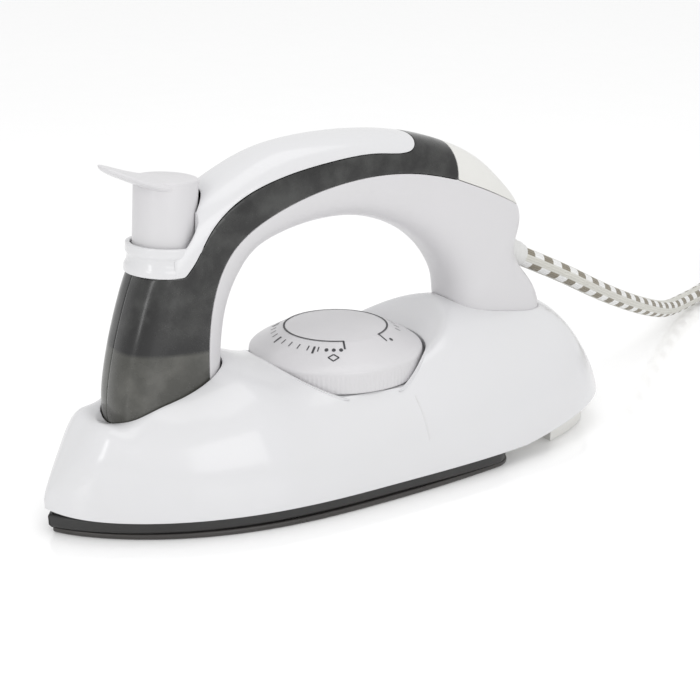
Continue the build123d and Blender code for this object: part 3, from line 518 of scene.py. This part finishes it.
def nurbs_line(points, resolution=6):
    """Points of the NURBS line whose control points these are."""
    data = bpy.data.curves.new("route", "CURVE")
    data.dimensions = "3D"
    data.resolution_u = resolution
    spline = data.splines.new("NURBS")
    spline.points.add(len(points) - 1)
    for point, place in zip(spline.points, points):
        point.co = (*(c * MM for c in place), 1)
    spline.order_u = 3
    spline.use_endpoint_u = True
    holder = bpy.data.objects.new("route", data)
    scene.collection.objects.link(holder)
    bpy.context.view_layer.update()
    mesh = bpy.data.meshes.new_from_object(holder.evaluated_get(bpy.context.evaluated_depsgraph_get()))
    line = np.array([tuple(v.co) for v in mesh.vertices]) / MM
    bpy.data.objects.remove(holder)
    bpy.data.meshes.remove(mesh)
    return line


def evenly(line, step):
    """The line's points set a step apart, and its length."""
    run = np.r_[0, np.cumsum(np.linalg.norm(np.diff(line, axis=0), axis=1))]
    keep = np.r_[True, np.diff(run) > 1e-6]
    places = np.linspace(0, run[-1], int(run[-1] / step) + 1)
    return np.stack([np.interp(places, run[keep], line[keep, k]) for k in range(3)], axis=1), run[-1]


def pipe(line, radius, sides):
    """Rings of a tube along a line, with no twist; radius is a number or a function of the ring."""
    tangent = np.gradient(line, axis=0)
    tangent /= np.linalg.norm(tangent, axis=1)[:, None]
    side = np.cross(tangent[0], (0, 0, 1.0))
    side /= np.linalg.norm(side)
    rings = []
    angles = np.arange(sides) * 2 * math.pi / sides
    for i, place in enumerate(line):
        side = side - tangent[i] * (side @ tangent[i])
        side /= np.linalg.norm(side)
        up = np.cross(side, tangent[i])
        r = radius(i) if callable(radius) else radius
        rings.append(place + r * (np.cos(angles)[:, None] * side + np.sin(angles)[:, None] * up))
    return np.concatenate(rings)


lead_line, lead_length = evenly(nurbs_line(LEAD), 1.3)
SIDES = 18
lead_points = pipe(lead_line, CORD_RADIUS, SIDES)
lead_faces = [tuple(reversed(face)) for face in tube_faces(len(lead_line), SIDES)]
lead = build("mains_lead", lead_points, lead_faces, BRAID,
             stands_for=("mains_cord", "cord_coil", "plug_lead"), sharp=80)
layer = lead.data.uv_layers.new(name="weave")
spacing = lead_length / (len(lead_line) - 1)
for polygon in lead.data.polygons:
    columns = [lead.data.loops[k].vertex_index % SIDES for k in polygon.loop_indices]
    wraps = max(columns) - min(columns) > SIDES / 2
    for k in polygon.loop_indices:
        ring, column = divmod(lead.data.loops[k].vertex_index, SIDES)
        if wraps and column == 0:
            column = SIDES
        layer.data[k].uv = (ring * spacing, column / SIDES)


# ---------------------------------------------------------------- handle surface, as (station, height)

FRONT_RIBS = [((19.2, 22), (52, 22)), ((18.2, 34), (52, 36)), ((20.2, 47), (52.4, 47)),
              ((24.2, 61), (54.6, 60)), ((29, 73), (58.6, 68.3)), ((39, 86), (64.2, 74.4)),
              ((53, 95.2), (71.5, 77.4)), ((67, 101.2), (79, 79)), ((82.4, 103.8), (88, 79.8))]
REAR_RIBS = [((99.5, 104), (98.5, 79)), ((117, 102), (109.5, 75.6)), ((131, 98), (119, 70.6)),
             ((143.5, 91.8), (126.4, 64.2)), ((153.6, 83), (131, 57.8)), ((160, 72.6), (133.4, 52)),
             ((158, 65), (134.2, 48)), ((159.6, 57.4), (134.6, 44.6)), ((165.6, 50), (134.6, 41.4)),
             ((169.4, 42.4), (134.6, 38)), ((170, 35), (134.6, 35))]
HALF = 12.0             # half the handle's width
POWER = 0.72            # superellipse power of its section
COLLAR_BASE = 71.2
BUTTON_STATION = 37.6
BUTTON_LEAN = math.radians(4)


def section_table(count):
    """Points of half the rounded section, evenly spaced: along the rib (-1 to 1) and out to the side."""
    angle = np.linspace(0, math.pi, 4000)
    along = -np.sign(np.cos(angle)) * np.abs(np.cos(angle)) ** POWER
    out = np.abs(np.sin(angle)) ** POWER
    run = np.r_[0, np.cumsum(np.hypot(np.diff(along) * 14, np.diff(out) * HALF))]
    places = np.linspace(0, run[-1], count)
    return np.interp(places, run, along), np.interp(places, run, out)


def handle_grid(columns=420, rows=57, half=HALF):
    """Points and quads of the handle's surface, one loop of points per rib."""
    ribs = FRONT_RIBS + REAR_RIBS
    outer = np.array([a for a, b in ribs])
    inner = np.array([b for a, b in ribs])
    middle = (outer + inner) / 2
    run = np.r_[0, np.cumsum(np.linalg.norm(np.diff(middle, axis=0), axis=1)
                             + 0.5 * np.linalg.norm(np.diff(outer, axis=0), axis=1))]
    u = np.linspace(0, run[-1], columns)
    out_line, in_line = cubic(run, outer, u), cubic(run, inner, u)
    along, side = section_table(rows)
    along = np.r_[along, along[-2:0:-1]]
    side = np.r_[side, -side[-2:0:-1]]
    centre = (out_line + in_line) / 2
    reach = (out_line - in_line) / 2
    flat = centre[:, None, :] + along[None, :, None] * reach[:, None, :]
    points = np.empty((columns, len(along), 3))
    points[..., 0] = NOSE_X - flat[..., 0]
    points[..., 1] = side[None, :] * half
    points[..., 2] = flat[..., 1]
    faces = [face[::-1] for face in grid_faces(columns, len(along), closed=True)]
    return points.reshape(-1, 3), faces


TANK_REAR = line_through([(45.5, 20), (45.5, 34), (46.2, 58), (53, 75.8), (69, 86), (88, 91), (106, 92),
                          (119, 90.4), (131, 87.3)], 160)
COVER_EDGE = line_through([(38.5, COLLAR_BASE), (41.6, 74.8), (46, 81.6), (54, 89), (67.3, 94.6), (86, 97.8),
                           (104, 98.2), (112, 97.5), (115.6, 98.4), (117.4, 101), (117.2, 105)], 180)
CAP_SEAM = line_through([(131, 87.3), (144, 82), (162, 73.2)], 60)
CAP_FRONT = line_through([(130.2, 106), (130.6, 98.2), (131.2, 92), (131, 87.3)], 30)

TANK_AREA = np.concatenate([TANK_REAR, CAP_FRONT[::-1], [(124, 120), (117.2, 105)], COVER_EDGE[::-1],
                            [(10, COLLAR_BASE), (10, 15)]])
COVER_AREA = np.concatenate([COVER_EDGE, [(117.2, 120), (10, 120), (10, COLLAR_BASE)]])
CAP_AREA = np.concatenate([CAP_FRONT, CAP_SEAM, [(190, 60), (190, 120), (130.2, 120)]])


def flat(points):
    """Station and height of points."""
    return np.stack([NOSE_X - points[:, 0], points[:, 2]], axis=1)


def within(area, gap):
    """Distance inside an area of the handle's side view."""
    return lambda p: signed_distance(flat(p), area) - gap


def outside(gap):
    """Distance outside the tank, the cover and the cap."""
    areas = (TANK_AREA, COVER_AREA, CAP_AREA)
    return lambda p: -np.maximum.reduce([signed_distance(flat(p), area) for area in areas]) - gap


def lean_axis(z):
    """Row X of the steam button's axis at a height."""
    return NOSE_X - BUTTON_STATION - (z - COLLAR_BASE) * math.tan(BUTTON_LEAN)


def from_button(gap):
    """Distance outside the button's path, and behind its notch, above the collar's foot."""
    def field(p):
        share = np.clip((p[:, 2] - 77.0) / 9.0, 0, 1)
        ahead = (lean_axis(p[:, 2]) + 2.0 - 7.4 * share**0.55) - p[:, 0]
        away = np.hypot(p[:, 0] - lean_axis(p[:, 2]), p[:, 1]) - gap
        return np.minimum(away, ahead)
    return field


surface = handle_grid()
HANDLE_SEAM = 0.11
tank_skin = clip(*surface, within(TANK_AREA, HANDLE_SEAM))
for side, label in ((1, "left"), (-1, "right")):
    half_skin = clip(*tank_skin, lambda p, s=side: s * p[:, 1] - 0.07)
    build("tank_half_" + label, *half_skin, TANK, stands_for=("tank_" + label,), thick=2.2, bevel=0.28)

shell_skin = clip(*surface, outside(HANDLE_SEAM))
build("handle_casing", *shell_skin, SATIN, stands_for=("handle_shell",), thick=2.0, bevel=0.3)

cover_skin = clip(*clip(*surface, within(COVER_AREA, HANDLE_SEAM)), from_button(9.6))
build("handle_cover", *cover_skin, WHITE, stands_for=("top_cover",), thick=1.2, bevel=0.35)

handle_tree = BVHTree.FromPolygons([tuple(p) for p in surface[0]], surface[1])


def depth_in_handle(points):
    """How far inside the handle's surface points are."""
    out = []
    for point in points:
        near, normal = handle_tree.find_nearest(Vector(point))[:2]
        out.append(-(Vector(point) - near).dot(normal))
    return np.array(out)


def bulkhead():
    """Wall that closes the cover behind the steam button."""
    columns, rows = 49, 61
    points = []
    for i in range(rows):
        z = 71.0 + 26 * i / (rows - 1)
        for j in range(columns):
            points.append((lean_axis(z) - 5.4, -12.6 + 25.2 * j / (columns - 1), z))
    skin = clip(np.array(points), grid_faces(rows, columns), lambda p: depth_in_handle(p) - 0.25)
    return clip(*skin, lambda p: np.hypot(p[:, 0] - lean_axis(p[:, 2]), p[:, 1]) - 9.3)


build("cover_bulkhead", *bulkhead(), WHITE, slot="white_gloss", thick=0.8)

cap_skin = clip(*surface, within(CAP_AREA, HANDLE_SEAM))
build("handle_end_cap", *cap_skin, CREAM, stands_for=("rear_cap",), thick=2.0, bevel=0.45)


# ---------------------------------------------------------------- collar and steam button

def leaning(points):
    """From the button's own axis (X forward, Z height above the tank) to the row frame."""
    points = np.asarray(points, float)
    x, z = points[:, 0], points[:, 2]
    return np.stack([NOSE_X - BUTTON_STATION + x * math.cos(BUTTON_LEAN) - z * math.sin(BUTTON_LEAN),
                     points[:, 1],
                     COLLAR_BASE + z * math.cos(BUTTON_LEAN) + x * math.sin(BUTTON_LEAN)], axis=1)


def rounded(corners, radius=0.5, steps=4):
    """Profile with each inner corner rounded."""
    corners = [np.array(c, float) for c in corners]
    out = [tuple(corners[0])]
    for before, corner, after in zip(corners, corners[1:], corners[2:]):
        to_before, to_after = before - corner, after - corner
        cut = min(radius, 0.45 * np.linalg.norm(to_before), 0.45 * np.linalg.norm(to_after))
        a = corner + to_before / np.linalg.norm(to_before) * cut
        b = corner + to_after / np.linalg.norm(to_after) * cut
        for i in range(steps + 1):
            t = i / steps
            out.append(tuple((1 - t) ** 2 * a + 2 * t * (1 - t) * corner + t * t * b))
    out.append(tuple(corners[-1]))
    return out


collar_profile = rounded([(9.4, -0.4), (11.3, -0.4), (11.2, 1.6), (10.5, 3.0), (10.4, 4.6), (10.95, 5.4),
                          (10.9, 7.9), (9.5, 7.9), (9.4, -0.4)], 0.5)
ring_points, ring_faces = lathe(collar_profile, 96)
build("button_collar", leaning(ring_points), ring_faces[:-2], WHITE, slot="white_gloss", sharp=40)

BUTTON_LOW, BUTTON_HIGH = 5.4, 25.9
barrel_profile = rounded([(7.4, BUTTON_LOW), (8.9, BUTTON_LOW), (9.0, 7.0), (9.0, BUTTON_HIGH - 0.2),
                          (8.2, BUTTON_HIGH)], 0.4)
barrel = lathe(barrel_profile, 96)
plunger = lathe(rounded([(5.2, -0.7), (5.5, -0.4), (5.5, BUTTON_LOW + 2)], 0.2), 48)


def thumb_lip():
    """Spoon-shaped lip that runs on from the button's top and curls up to its tip."""
    rows, columns = 48, 41
    reach, root, wide = 19.8, -6.0, 8.8
    upper, lower = [], []
    for i in range(rows):
        t = i / (rows - 1)
        x = root + (reach - root) * math.sin(t * math.pi / 2)
        ahead = max(x, 0) / reach
        half = wide * math.sqrt(max(1 - ahead**2.6, 0.0)) if x > 0 else math.sqrt(wide**2 - x * x)
        rise = 4.6 * ahead**1.7
        thick = 2.3 + 2.2 * (1 - ahead) ** 2
        for j in range(columns):
            v = math.sin((-1 + 2 * j / (columns - 1)) * math.pi / 2)
            edge = max(1 - abs(v) ** 3.5, 0.0) ** 0.5
            tip = max(1 - ahead**9, 0.0) ** 0.5
            mid = BUTTON_HIGH + rise - thick / 2 + 0.35 * ahead * v * v
            upper.append((x, half * v, mid + thick / 2 * edge * tip))
            lower.append((x, half * v, mid - thick / 2 * edge * tip))
    top = grid_faces(rows, columns)
    under = [tuple(reversed([v + rows * columns for v in f])) for f in top]
    skirt = []
    border = list(range(columns))
    border += [i * columns + columns - 1 for i in range(1, rows)]
    border += [(rows - 1) * columns + j for j in range(columns - 2, -1, -1)]
    border += [i * columns for i in range(rows - 2, 0, -1)]
    for a, b in zip(border, border[1:] + border[:1]):
        skirt.append((b, a, a + rows * columns, b + rows * columns))
    return np.array(upper + lower), top + under + skirt


lip_points, lip_faces = thumb_lip()
control_points, control_faces = joined(barrel, plunger)
build("steam_control", leaning(control_points), control_faces, SATIN, body="button",
      stands_for=("steam_button",), sharp=40)
build("steam_control_lip", leaning(lip_points), lip_faces, SATIN, body="button", slot="white_satin", sharp=60)


# ---------------------------------------------------------------- housing

SOLE_LENGTH, HEEL = 140.0, 193.0
SOLE_HALF, BODY_HALF = 35.0, 35.5
BOW_LENGTH = 88.0       # station of the widest point
BOW_POWERS = (2.6, 0.82)
OVERHANG = 2.0          # of the housing's nose over the sole
HEEL_ROUND = 2.55       # superellipse exponent of the heel in the plan
BASE = 5.6
NOSE_RISE = 2.4         # the housing's lower edge lifts this much at the tip
DECK_S = [-2, 5.5, 12.5, 21, 31, 44, 53, 68, 84, 108, 123, 140, 165, 174, 181, 187.5, 193]
DECK_Z = [11, 22, 33, 33.2, 36.4, 41.6, 43.8, 39.6, 40.5, 45.8, 47.9, 46.8, 43, 39.4, 33, 23.5, 12.5]


def deck(station):
    """Height of the housing's top: the same curve as the solid housing's."""
    station = np.atleast_1d(np.asarray(station, float))
    s, z = np.array(DECK_S, float), np.array(DECK_Z, float)
    slopes = np.empty(len(s))
    slopes[1:-1] = (z[2:] - z[:-2]) / (s[2:] - s[:-2])
    slopes[0] = (z[1] - z[0]) / (s[1] - s[0])
    slopes[-1] = (z[-1] - z[-2]) / (s[-1] - s[-2])
    i = np.clip(np.searchsorted(s, station) - 1, 0, len(s) - 2)
    run = s[i + 1] - s[i]
    t = (station - s[i]) / run
    return ((2 * t**3 - 3 * t**2 + 1) * z[i] + (t**3 - 2 * t**2 + t) * run * slopes[i]
            + (3 * t**2 - 2 * t**3) * z[i + 1] + (t**3 - t**2) * run * slopes[i + 1])


def smooth_deck(station):
    """The deck's curve with its joins eased over a few millimetres."""
    total, weight = 0, 0
    for k in range(-4, 5):
        w = math.exp(-k * k / 8)
        total = total + w * deck(np.clip(np.asarray(station, float) + k * 0.9, -2, HEEL))
        weight += w
    edge = np.clip(np.minimum(np.asarray(station) + 2, HEEL - np.asarray(station)) / 4, 0, 1)
    return edge * total / weight + (1 - edge) * deck(station)


def bow(ahead):
    """Share of the full half width, from the tip (0) to the widest point (1)."""
    return (1 - (1 - ahead) ** BOW_POWERS[0]) ** BOW_POWERS[1]


def body_half(station):
    """Half width of the housing."""
    ahead = np.clip((np.asarray(station, float) + OVERHANG) / (BOW_LENGTH + OVERHANG), 0, 1)
    aft = np.clip((np.asarray(station, float) - 100) / (HEEL - 100), 0, 1)
    return BODY_HALF * bow(ahead) * (1 - aft**HEEL_ROUND) ** (1 / HEEL_ROUND)


def body_power(station):
    """Superellipse power of the housing's section: boxy at the nose, domed behind it."""
    return 2 / (2.05 + 2 * np.exp(-np.maximum(station, 0) / 22))


def base_height(station):
    """Height of the housing's lower edge, lifted at the tip."""
    return BASE + NOSE_RISE * np.exp(-(np.asarray(station, float) + OVERHANG) / 5)


def lower_edge(station):
    """The same, with the rise behind the sole to the end of the heel."""
    return np.maximum(base_height(station), BASE + (np.asarray(station, float) - 144) * 5.9 / 49)


def housing_grid(columns=300, rows=141):
    """Points and quads of the housing's outer surface, one row of points per station."""
    share = np.linspace(0, 1, columns)
    share = 0.72 * share + 0.28 * (1 - np.cos(math.pi * share)) / 2
    stations = -1.99 + (HEEL - 0.02 + 1.99) * share
    tops = smooth_deck(stations)
    points = []
    for s, top in zip(stations, tops):
        power = float(body_power(s))
        base = float(base_height(s))
        low = float(lower_edge(s))
        start = math.asin(np.clip(((low - base) / (top - base)), 0, 1) ** (1 / power)) if low > base else 0.0
        angle = np.linspace(start, math.pi - start, 700)
        y = np.sign(np.cos(angle)) * np.abs(np.cos(angle)) ** power * float(body_half(s))
        z = base + (top - base) * np.abs(np.sin(angle)) ** power
        run = np.r_[0, np.cumsum(np.hypot(np.diff(y), np.diff(z)))]
        places = np.linspace(0, run[-1], rows)
        level, height = np.interp(places, run, y), np.interp(places, run, z)
        points.append(np.stack([np.full(rows, NOSE_X - s), level, height], axis=1))
    return np.concatenate(points), [face[::-1] for face in grid_faces(columns, rows)]


DIAL_X = 1.2
RECESS = 27.5
RECESS_FLOOR = 31.5
RIM_HEIGHT = 38.4       # housing's height where it meets the dial's rim from behind


def eased(points):
    """Housing's points with the hollow at the tank's foot and the slope down to the dial."""
    points = np.array(points, float)
    s, y = NOSE_X - points[:, 0], np.abs(points[:, 1])
    upper = np.clip((points[:, 2] - 20) / 8, 0, 1)
    hollow = 3.9 * np.exp(-((s - 18.5) / 6.5) ** 2) * np.exp(-((y / 8.0) ** 2))
    swell = 1.6 * np.exp(-((s - 28.0) / 8.0) ** 2) * np.exp(-(((y - 12.0) / 5.0) ** 2))
    z = points[:, 2] + upper * (swell - hollow)
    away = np.maximum(np.hypot(points[:, 0] - DIAL_X, points[:, 1]) - RECESS, -2.0)
    limit = RIM_HEIGHT + 0.8 * away + 0.03 * away**2
    soft = 1.2
    points[:, 2] = np.where(s > 84, -soft * np.logaddexp(-z / soft, -limit / soft), z)
    return points


def recess(p):
    """Distance outside the dial's recess, or below its floor."""
    away = np.hypot(p[:, 0] - DIAL_X, p[:, 1]) - RECESS
    return np.maximum(away, RECESS_FLOOR + 0.02 - p[:, 2])


def leg_hole(outer, inner, gap, low=20.0, high=60.0):
    """Distance outside a leg's section; outer and inner are (height, station) knots."""
    def field(p):
        z = np.clip(p[:, 2], low, high)
        ahead = np.interp(z, *zip(*outer))
        behind = np.interp(z, *zip(*inner))
        middle, reach = (ahead + behind) / 2, np.abs(behind - ahead) / 2 + gap
        s = NOSE_X - p[:, 0]
        n = 2 / POWER
        size = (np.abs((s - middle) / reach) ** n + np.abs(p[:, 1] / (HALF + gap)) ** n) ** (1 / n)
        return (size - 1) * (HALF + gap)
    return field


front_leg = leg_hole([(22, 19.2), (34, 18.2), (47, 20.2), (61, 24.2)],
                     [(22, 52), (36, 52), (47, 52.4), (60, 54.6)], 0.55)
rear_leg = leg_hole([(35, 134.6), (41.4, 134.6), (44.6, 134.6), (48, 134.2), (52, 133.4)],
                    [(35, 170), (42.4, 169.4), (50, 165.6), (57.4, 159.6)], 0.25)

housing_points, housing_faces = housing_grid()
housing = clip(*clip(*clip(eased(housing_points), housing_faces, recess), front_leg), rear_leg)
build("housing", *housing, WHITE, stands_for=("body_shell",), thick=2.0, bevel=0.35)


def body_height(x, y):
    """Height of the housing's surface over a point."""
    s = NOSE_X - np.asarray(x, float)
    power = body_power(s)
    base = base_height(s)
    across = np.clip(np.abs(y) / body_half(s), 0, 1)
    z = base + (smooth_deck(s) - base) * (1 - across ** (2 / power)) ** (power / 2)
    return eased(np.stack(np.broadcast_arrays(np.asarray(x, float), y, z), axis=-1).reshape(-1, 3))[:, 2]


def recess_wall():
    """Upright wall of the dial's recess, up to the housing's surface, and its flat floor."""
    angles = np.arange(360) * math.pi / 180
    x, y = DIAL_X + RECESS * np.cos(angles), RECESS * np.sin(angles)
    rim = np.maximum(body_height(x, y) - 0.05, RECESS_FLOOR - 1.2)
    levels = 12
    wall = []
    for i in range(levels):
        t = i / (levels - 1)
        wall.append(np.stack([x, y, rim + (RECESS_FLOOR - 1.2 - rim) * t], axis=1))
    wall_points, wall_faces = np.concatenate(wall), grid_faces(levels, 360, closed=True)
    wall_points, wall_faces = clip(wall_points, wall_faces, lambda p: p[:, 2] - (RECESS_FLOOR - 0.6))
    radii = np.linspace(5, RECESS, 24)
    ground = np.concatenate([np.stack([DIAL_X + r * np.cos(angles), r * np.sin(angles),
                                       np.full(360, RECESS_FLOOR)], axis=1) for r in radii])
    ground_faces = [face[::-1] for face in grid_faces(24, 360, closed=True)]
    ground, ground_faces = clip(ground, ground_faces, lambda p: body_height(p[:, 0], p[:, 1]) - RECESS_FLOOR)
    return joined((wall_points, wall_faces), (ground, ground_faces))


build("dial_recess", *recess_wall(), WHITE, slot="white_gloss", thick=0.8)


def index_mark():
    """Small raised line on the housing that the dial's scale is read against."""
    angle = math.radians(108)
    rows = []
    for i in range(12):
        r = 30.6 + 5.5 * i / 11
        for across, up in ((-0.3, -0.2), (-0.25, 0.16), (0.25, 0.16), (0.3, -0.2)):
            x = DIAL_X + r * math.cos(angle) + across * math.sin(angle)
            y = r * math.sin(angle) - across * math.cos(angle)
            rows.append((x, y, float(body_height([x], [y])[0]) + up))
    faces = grid_faces(12, 4) + [(0, 1, 2, 3), (47, 46, 45, 44)]
    return np.array(rows), faces


build("index_mark", *index_mark(), SATIN, slot="white_gloss", sharp=60)


# ---------------------------------------------------------------- dial

DIAL_HIGH = 44.7
FLAT_RADIUS = 15.9
DIAL_RADIUS = 26.6
RING_FOOT = (24.8, 39.9)         # radius and height of the sloping ring's foot
RING_FALL = (DIAL_HIGH - RING_FOOT[1]) / (RING_FOOT[0] - FLAT_RADIUS)


def dial_piece():
    """Dial with a finely ribbed rim, a sloping ring and a flat top."""
    profile = rounded([(0.0, DIAL_HIGH), (FLAT_RADIUS, DIAL_HIGH), RING_FOOT, (26.45, 38.6),
                       (DIAL_RADIUS, 37.4), (DIAL_RADIUS, 32.2), (26.2, 31.8), (24.6, 31.8), (24.6, 33.3),
                       (3.2, 33.3)], 0.9, 6)[::-1]

    def ripple(radius, height, angles):
        r = np.full(len(angles), float(radius))
        if radius > 26.4 and height < 37.7:
            r -= 0.16 * (0.5 + 0.5 * np.cos(120 * angles)) * min((37.9 - height) / 1.2, 1)
        return r

    return lathe(profile, 480, centre=(DIAL_X, 0), ripple=ripple)


dial_points, dial_faces = dial_piece()
build("heat_dial", dial_points, dial_faces, SATIN, body="dial", stands_for=("dial",), sharp=30)


def ring_height(radius):
    """Height of the dial's top at a radius."""
    return DIAL_HIGH - RING_FALL * max(radius - FLAT_RADIUS, 0.0)


def stroke(path, width, lift=0.07):
    """Flat printed line on the dial's top through (angle in degrees, radius) points."""
    points = []
    line = np.array([(r * math.cos(math.radians(a)), r * math.sin(math.radians(a))) for a, r in path])
    tangent = np.gradient(line, axis=0)
    tangent /= np.maximum(np.linalg.norm(tangent, axis=1), 1e-9)[:, None]
    normal = np.stack([-tangent[:, 1], tangent[:, 0]], axis=1) * width / 2
    for sign in (1, -1):
        for x, y in line + sign * normal:
            points.append((DIAL_X + x, y, ring_height(math.hypot(x, y)) + lift))
    n = len(line)
    return np.array(points), [(i, i + 1, i + 1 + n, i + n) for i in range(n - 1)]


def disc(angle, radius, size, lift=0.07):
    cx, cy = radius * math.cos(math.radians(angle)), radius * math.sin(math.radians(angle))
    points = [(DIAL_X + cx, cy, ring_height(radius) + lift)]
    for i in range(16):
        x, y = cx + size * math.cos(i * math.pi / 8), cy + size * math.sin(i * math.pi / 8)
        points.append((DIAL_X + x, y, ring_height(math.hypot(x, y)) + lift))
    return np.array(points), [(0, i + 1, (i + 1) % 16 + 1) for i in range(16)]


arc = [(a, 15.7) for a in np.linspace(112, 426, 160)]
marks = [stroke(arc, 0.62)]
marks.append(stroke([(112, r) for r in np.linspace(15.5, 18.8, 8)], 0.55))
marks.append(stroke([(66, r) for r in np.linspace(15.5, 18.8, 8)], 0.6))
for angle in (62.5, 56, 49.5):
    marks.append(disc(angle, 19.0, 0.6))
for angle in np.linspace(148, 402, 27):
    marks.append(stroke([(angle, r) for r in (18.1, 18.9, 19.8)], 0.38))
for angle in (178, 222, 266, 310, 354, 398):
    marks.append(stroke([(angle, r) for r in (18.1, 19.4, 20.6)], 0.7))
marks.append(disc(118.5, 19.0, 0.6))
diamond = [(56, 20.5), (60.2, 21.6), (56, 22.8), (51.8, 21.6), (56, 20.5)]
marks.append(stroke([(a + (b - a) * t, r + (q - r) * t) for (a, r), (b, q) in zip(diamond, diamond[1:])
                     for t in np.linspace(0, 0.98, 6)], 0.42))
ink_points, ink_faces = joined(*marks)
build("dial_scale", ink_points, ink_faces, INK, body="dial", slot="dark_skirt", sharp=60)


# ---------------------------------------------------------------- sole, skirt, bush

def outline(half_width, start, end, inset, count=220, corner=7.0):
    """Closed boat-shaped loop in the plan, inset, with rounded stern corners."""
    share = np.linspace(0, 1, count) ** 1.9
    station = start + (end - start) * share
    half = np.maximum(half_width(station), 0.0)
    half[0] = 0
    side = np.stack([station, half], axis=1)
    limit = end - corner
    body = side[side[:, 0] < limit]
    widest = float(half_width(np.array([limit]))[0])
    turn = [(limit + corner * math.sin(t), widest - corner * (1 - math.cos(t)))
            for t in np.linspace(0, math.pi / 2, 16)]
    side = np.concatenate([body, turn])
    loop = np.concatenate([side, side[::-1][:-1] * (1, -1)])
    tangent = np.roll(loop, -1, axis=0) - np.roll(loop, 1, axis=0)
    tangent /= np.linalg.norm(tangent, axis=1)[:, None]
    normal = np.stack([-tangent[:, 1], tangent[:, 0]], axis=1)
    moved = loop - normal * inset
    moved[0, 1] = 0
    return np.stack([NOSE_X - moved[:, 0], moved[:, 1]], axis=1)


def sole_half(station):
    """Half width of the sole."""
    ahead = np.clip(station / BOW_LENGTH, 0, 1)
    aft = np.clip((station - BOW_LENGTH) / (SOLE_LENGTH - BOW_LENGTH), 0, 1)
    return SOLE_HALF * bow(ahead) - 3.3 * aft**2.2


def stacked(half_width, start, end, profile):
    """Closed solid from loops at (inset, height)."""
    loops = []
    for inset, height in profile:
        loop = outline(half_width, start, end, inset)
        loops.append(np.concatenate([loop, np.full((len(loop), 1), height)], axis=1))
    return np.concatenate(loops), tube_faces(len(loops), len(loops[0]))


sole_profile = rounded([(2.0, 0.0), (0.55, 0.0), (0.0, 0.55), (0.0, 1.5), (0.35, 1.8), (1.4, 1.8)], 0.3)
build("sole", *stacked(sole_half, 0.0, SOLE_LENGTH, sole_profile), SOLE, stands_for=("soleplate",), sharp=30)
skirt_profile = rounded([(3.2, 1.8), (1.5, 1.9), (0.9, 2.6), (0.8, 5.4), (1.3, 5.8), (1.9, 5.9), (2.4, 8.8),
                         (5, 8.8)], 0.35)
# its nearly black colour is partly painted shade from under the housing's edge
build("lower_skirt", *stacked(body_half, -OVERHANG, SOLE_LENGTH - 1, skirt_profile), SKIRT_AND_SHADE,
      stands_for=("heat_skirt",), sharp=35)

BUSH_TILT = math.radians(24)
BUSH_AXIS = np.array([-math.cos(BUSH_TILT), 0, -math.sin(BUSH_TILT)])
BUSH_LENGTH = 18.0
BUSH_ROOT, BUSH_TIP = 6.2, 4.1   # radii
BUSH_SIDES = 40


def bush_piece():
    """Tapered strain relief with rings moulded round it."""
    profile = []
    for i in range(64):
        d = -BUSH_LENGTH + BUSH_LENGTH * i / 63
        taper = BUSH_ROOT + (BUSH_TIP - BUSH_ROOT) * (i / 63)
        groove = 0.3 * (0.5 + 0.5 * math.cos(2 * math.pi * d / 3.0)) if d > -9 else 0
        profile.append((d, taper - groove))
    profile.append((0.5, 3.8))
    profile.append((0.7, 3.3))
    line = np.array([np.array(EXIT) + BUSH_AXIS * d for d, r in profile])
    points = pipe(line, lambda i: profile[i][1], BUSH_SIDES)
    return points, [tuple(reversed(face)) for face in tube_faces(len(line), BUSH_SIDES)]


build("strain_relief", *bush_piece(), BY_SLOT["white_rubber"], stands_for=("cord_bush",), sharp=40)


# ---------------------------------------------------------------- plug

TAIL_THIN, TAIL_THICK, TAIL_LONG = 4.45, 10.6, 22.0


def along_y(points, start):
    """Turns a lathe's axis from +Z to +Y at a starting point."""
    points = np.asarray(points)
    return np.stack([start[0] + points[:, 0], start[1] + points[:, 2], start[2] - points[:, 1]], axis=1)


def plug_piece():
    """Moulded round plug: ribbed tail, shoulder and a flat face with a rim."""
    tail = []
    for i in range(40):
        t = i / 39
        r = TAIL_THIN + (TAIL_THICK - TAIL_THIN) * t
        groove = 0.45 * (0.5 + 0.5 * math.cos(2 * math.pi * t * 7)) if t < 0.75 else 0
        tail.append((r - groove, TAIL_LONG * t))
    head = rounded([(TAIL_THICK, TAIL_LONG), (17.6, 22.3), (18.4, 24.0), (18.5, 41.0), (17.9, 41.9),
                    (16.8, 41.9), (16.5, 41.5), (12, 41.5)], 0.8)
    return lathe(tail + head[1:], 96)


plug_points, plug_faces = plug_piece()
plug = build("mains_plug", along_y(plug_points, LEAD_OUT[-1]), plug_faces, SATIN,
             stands_for=("plug_body",), sharp=35)
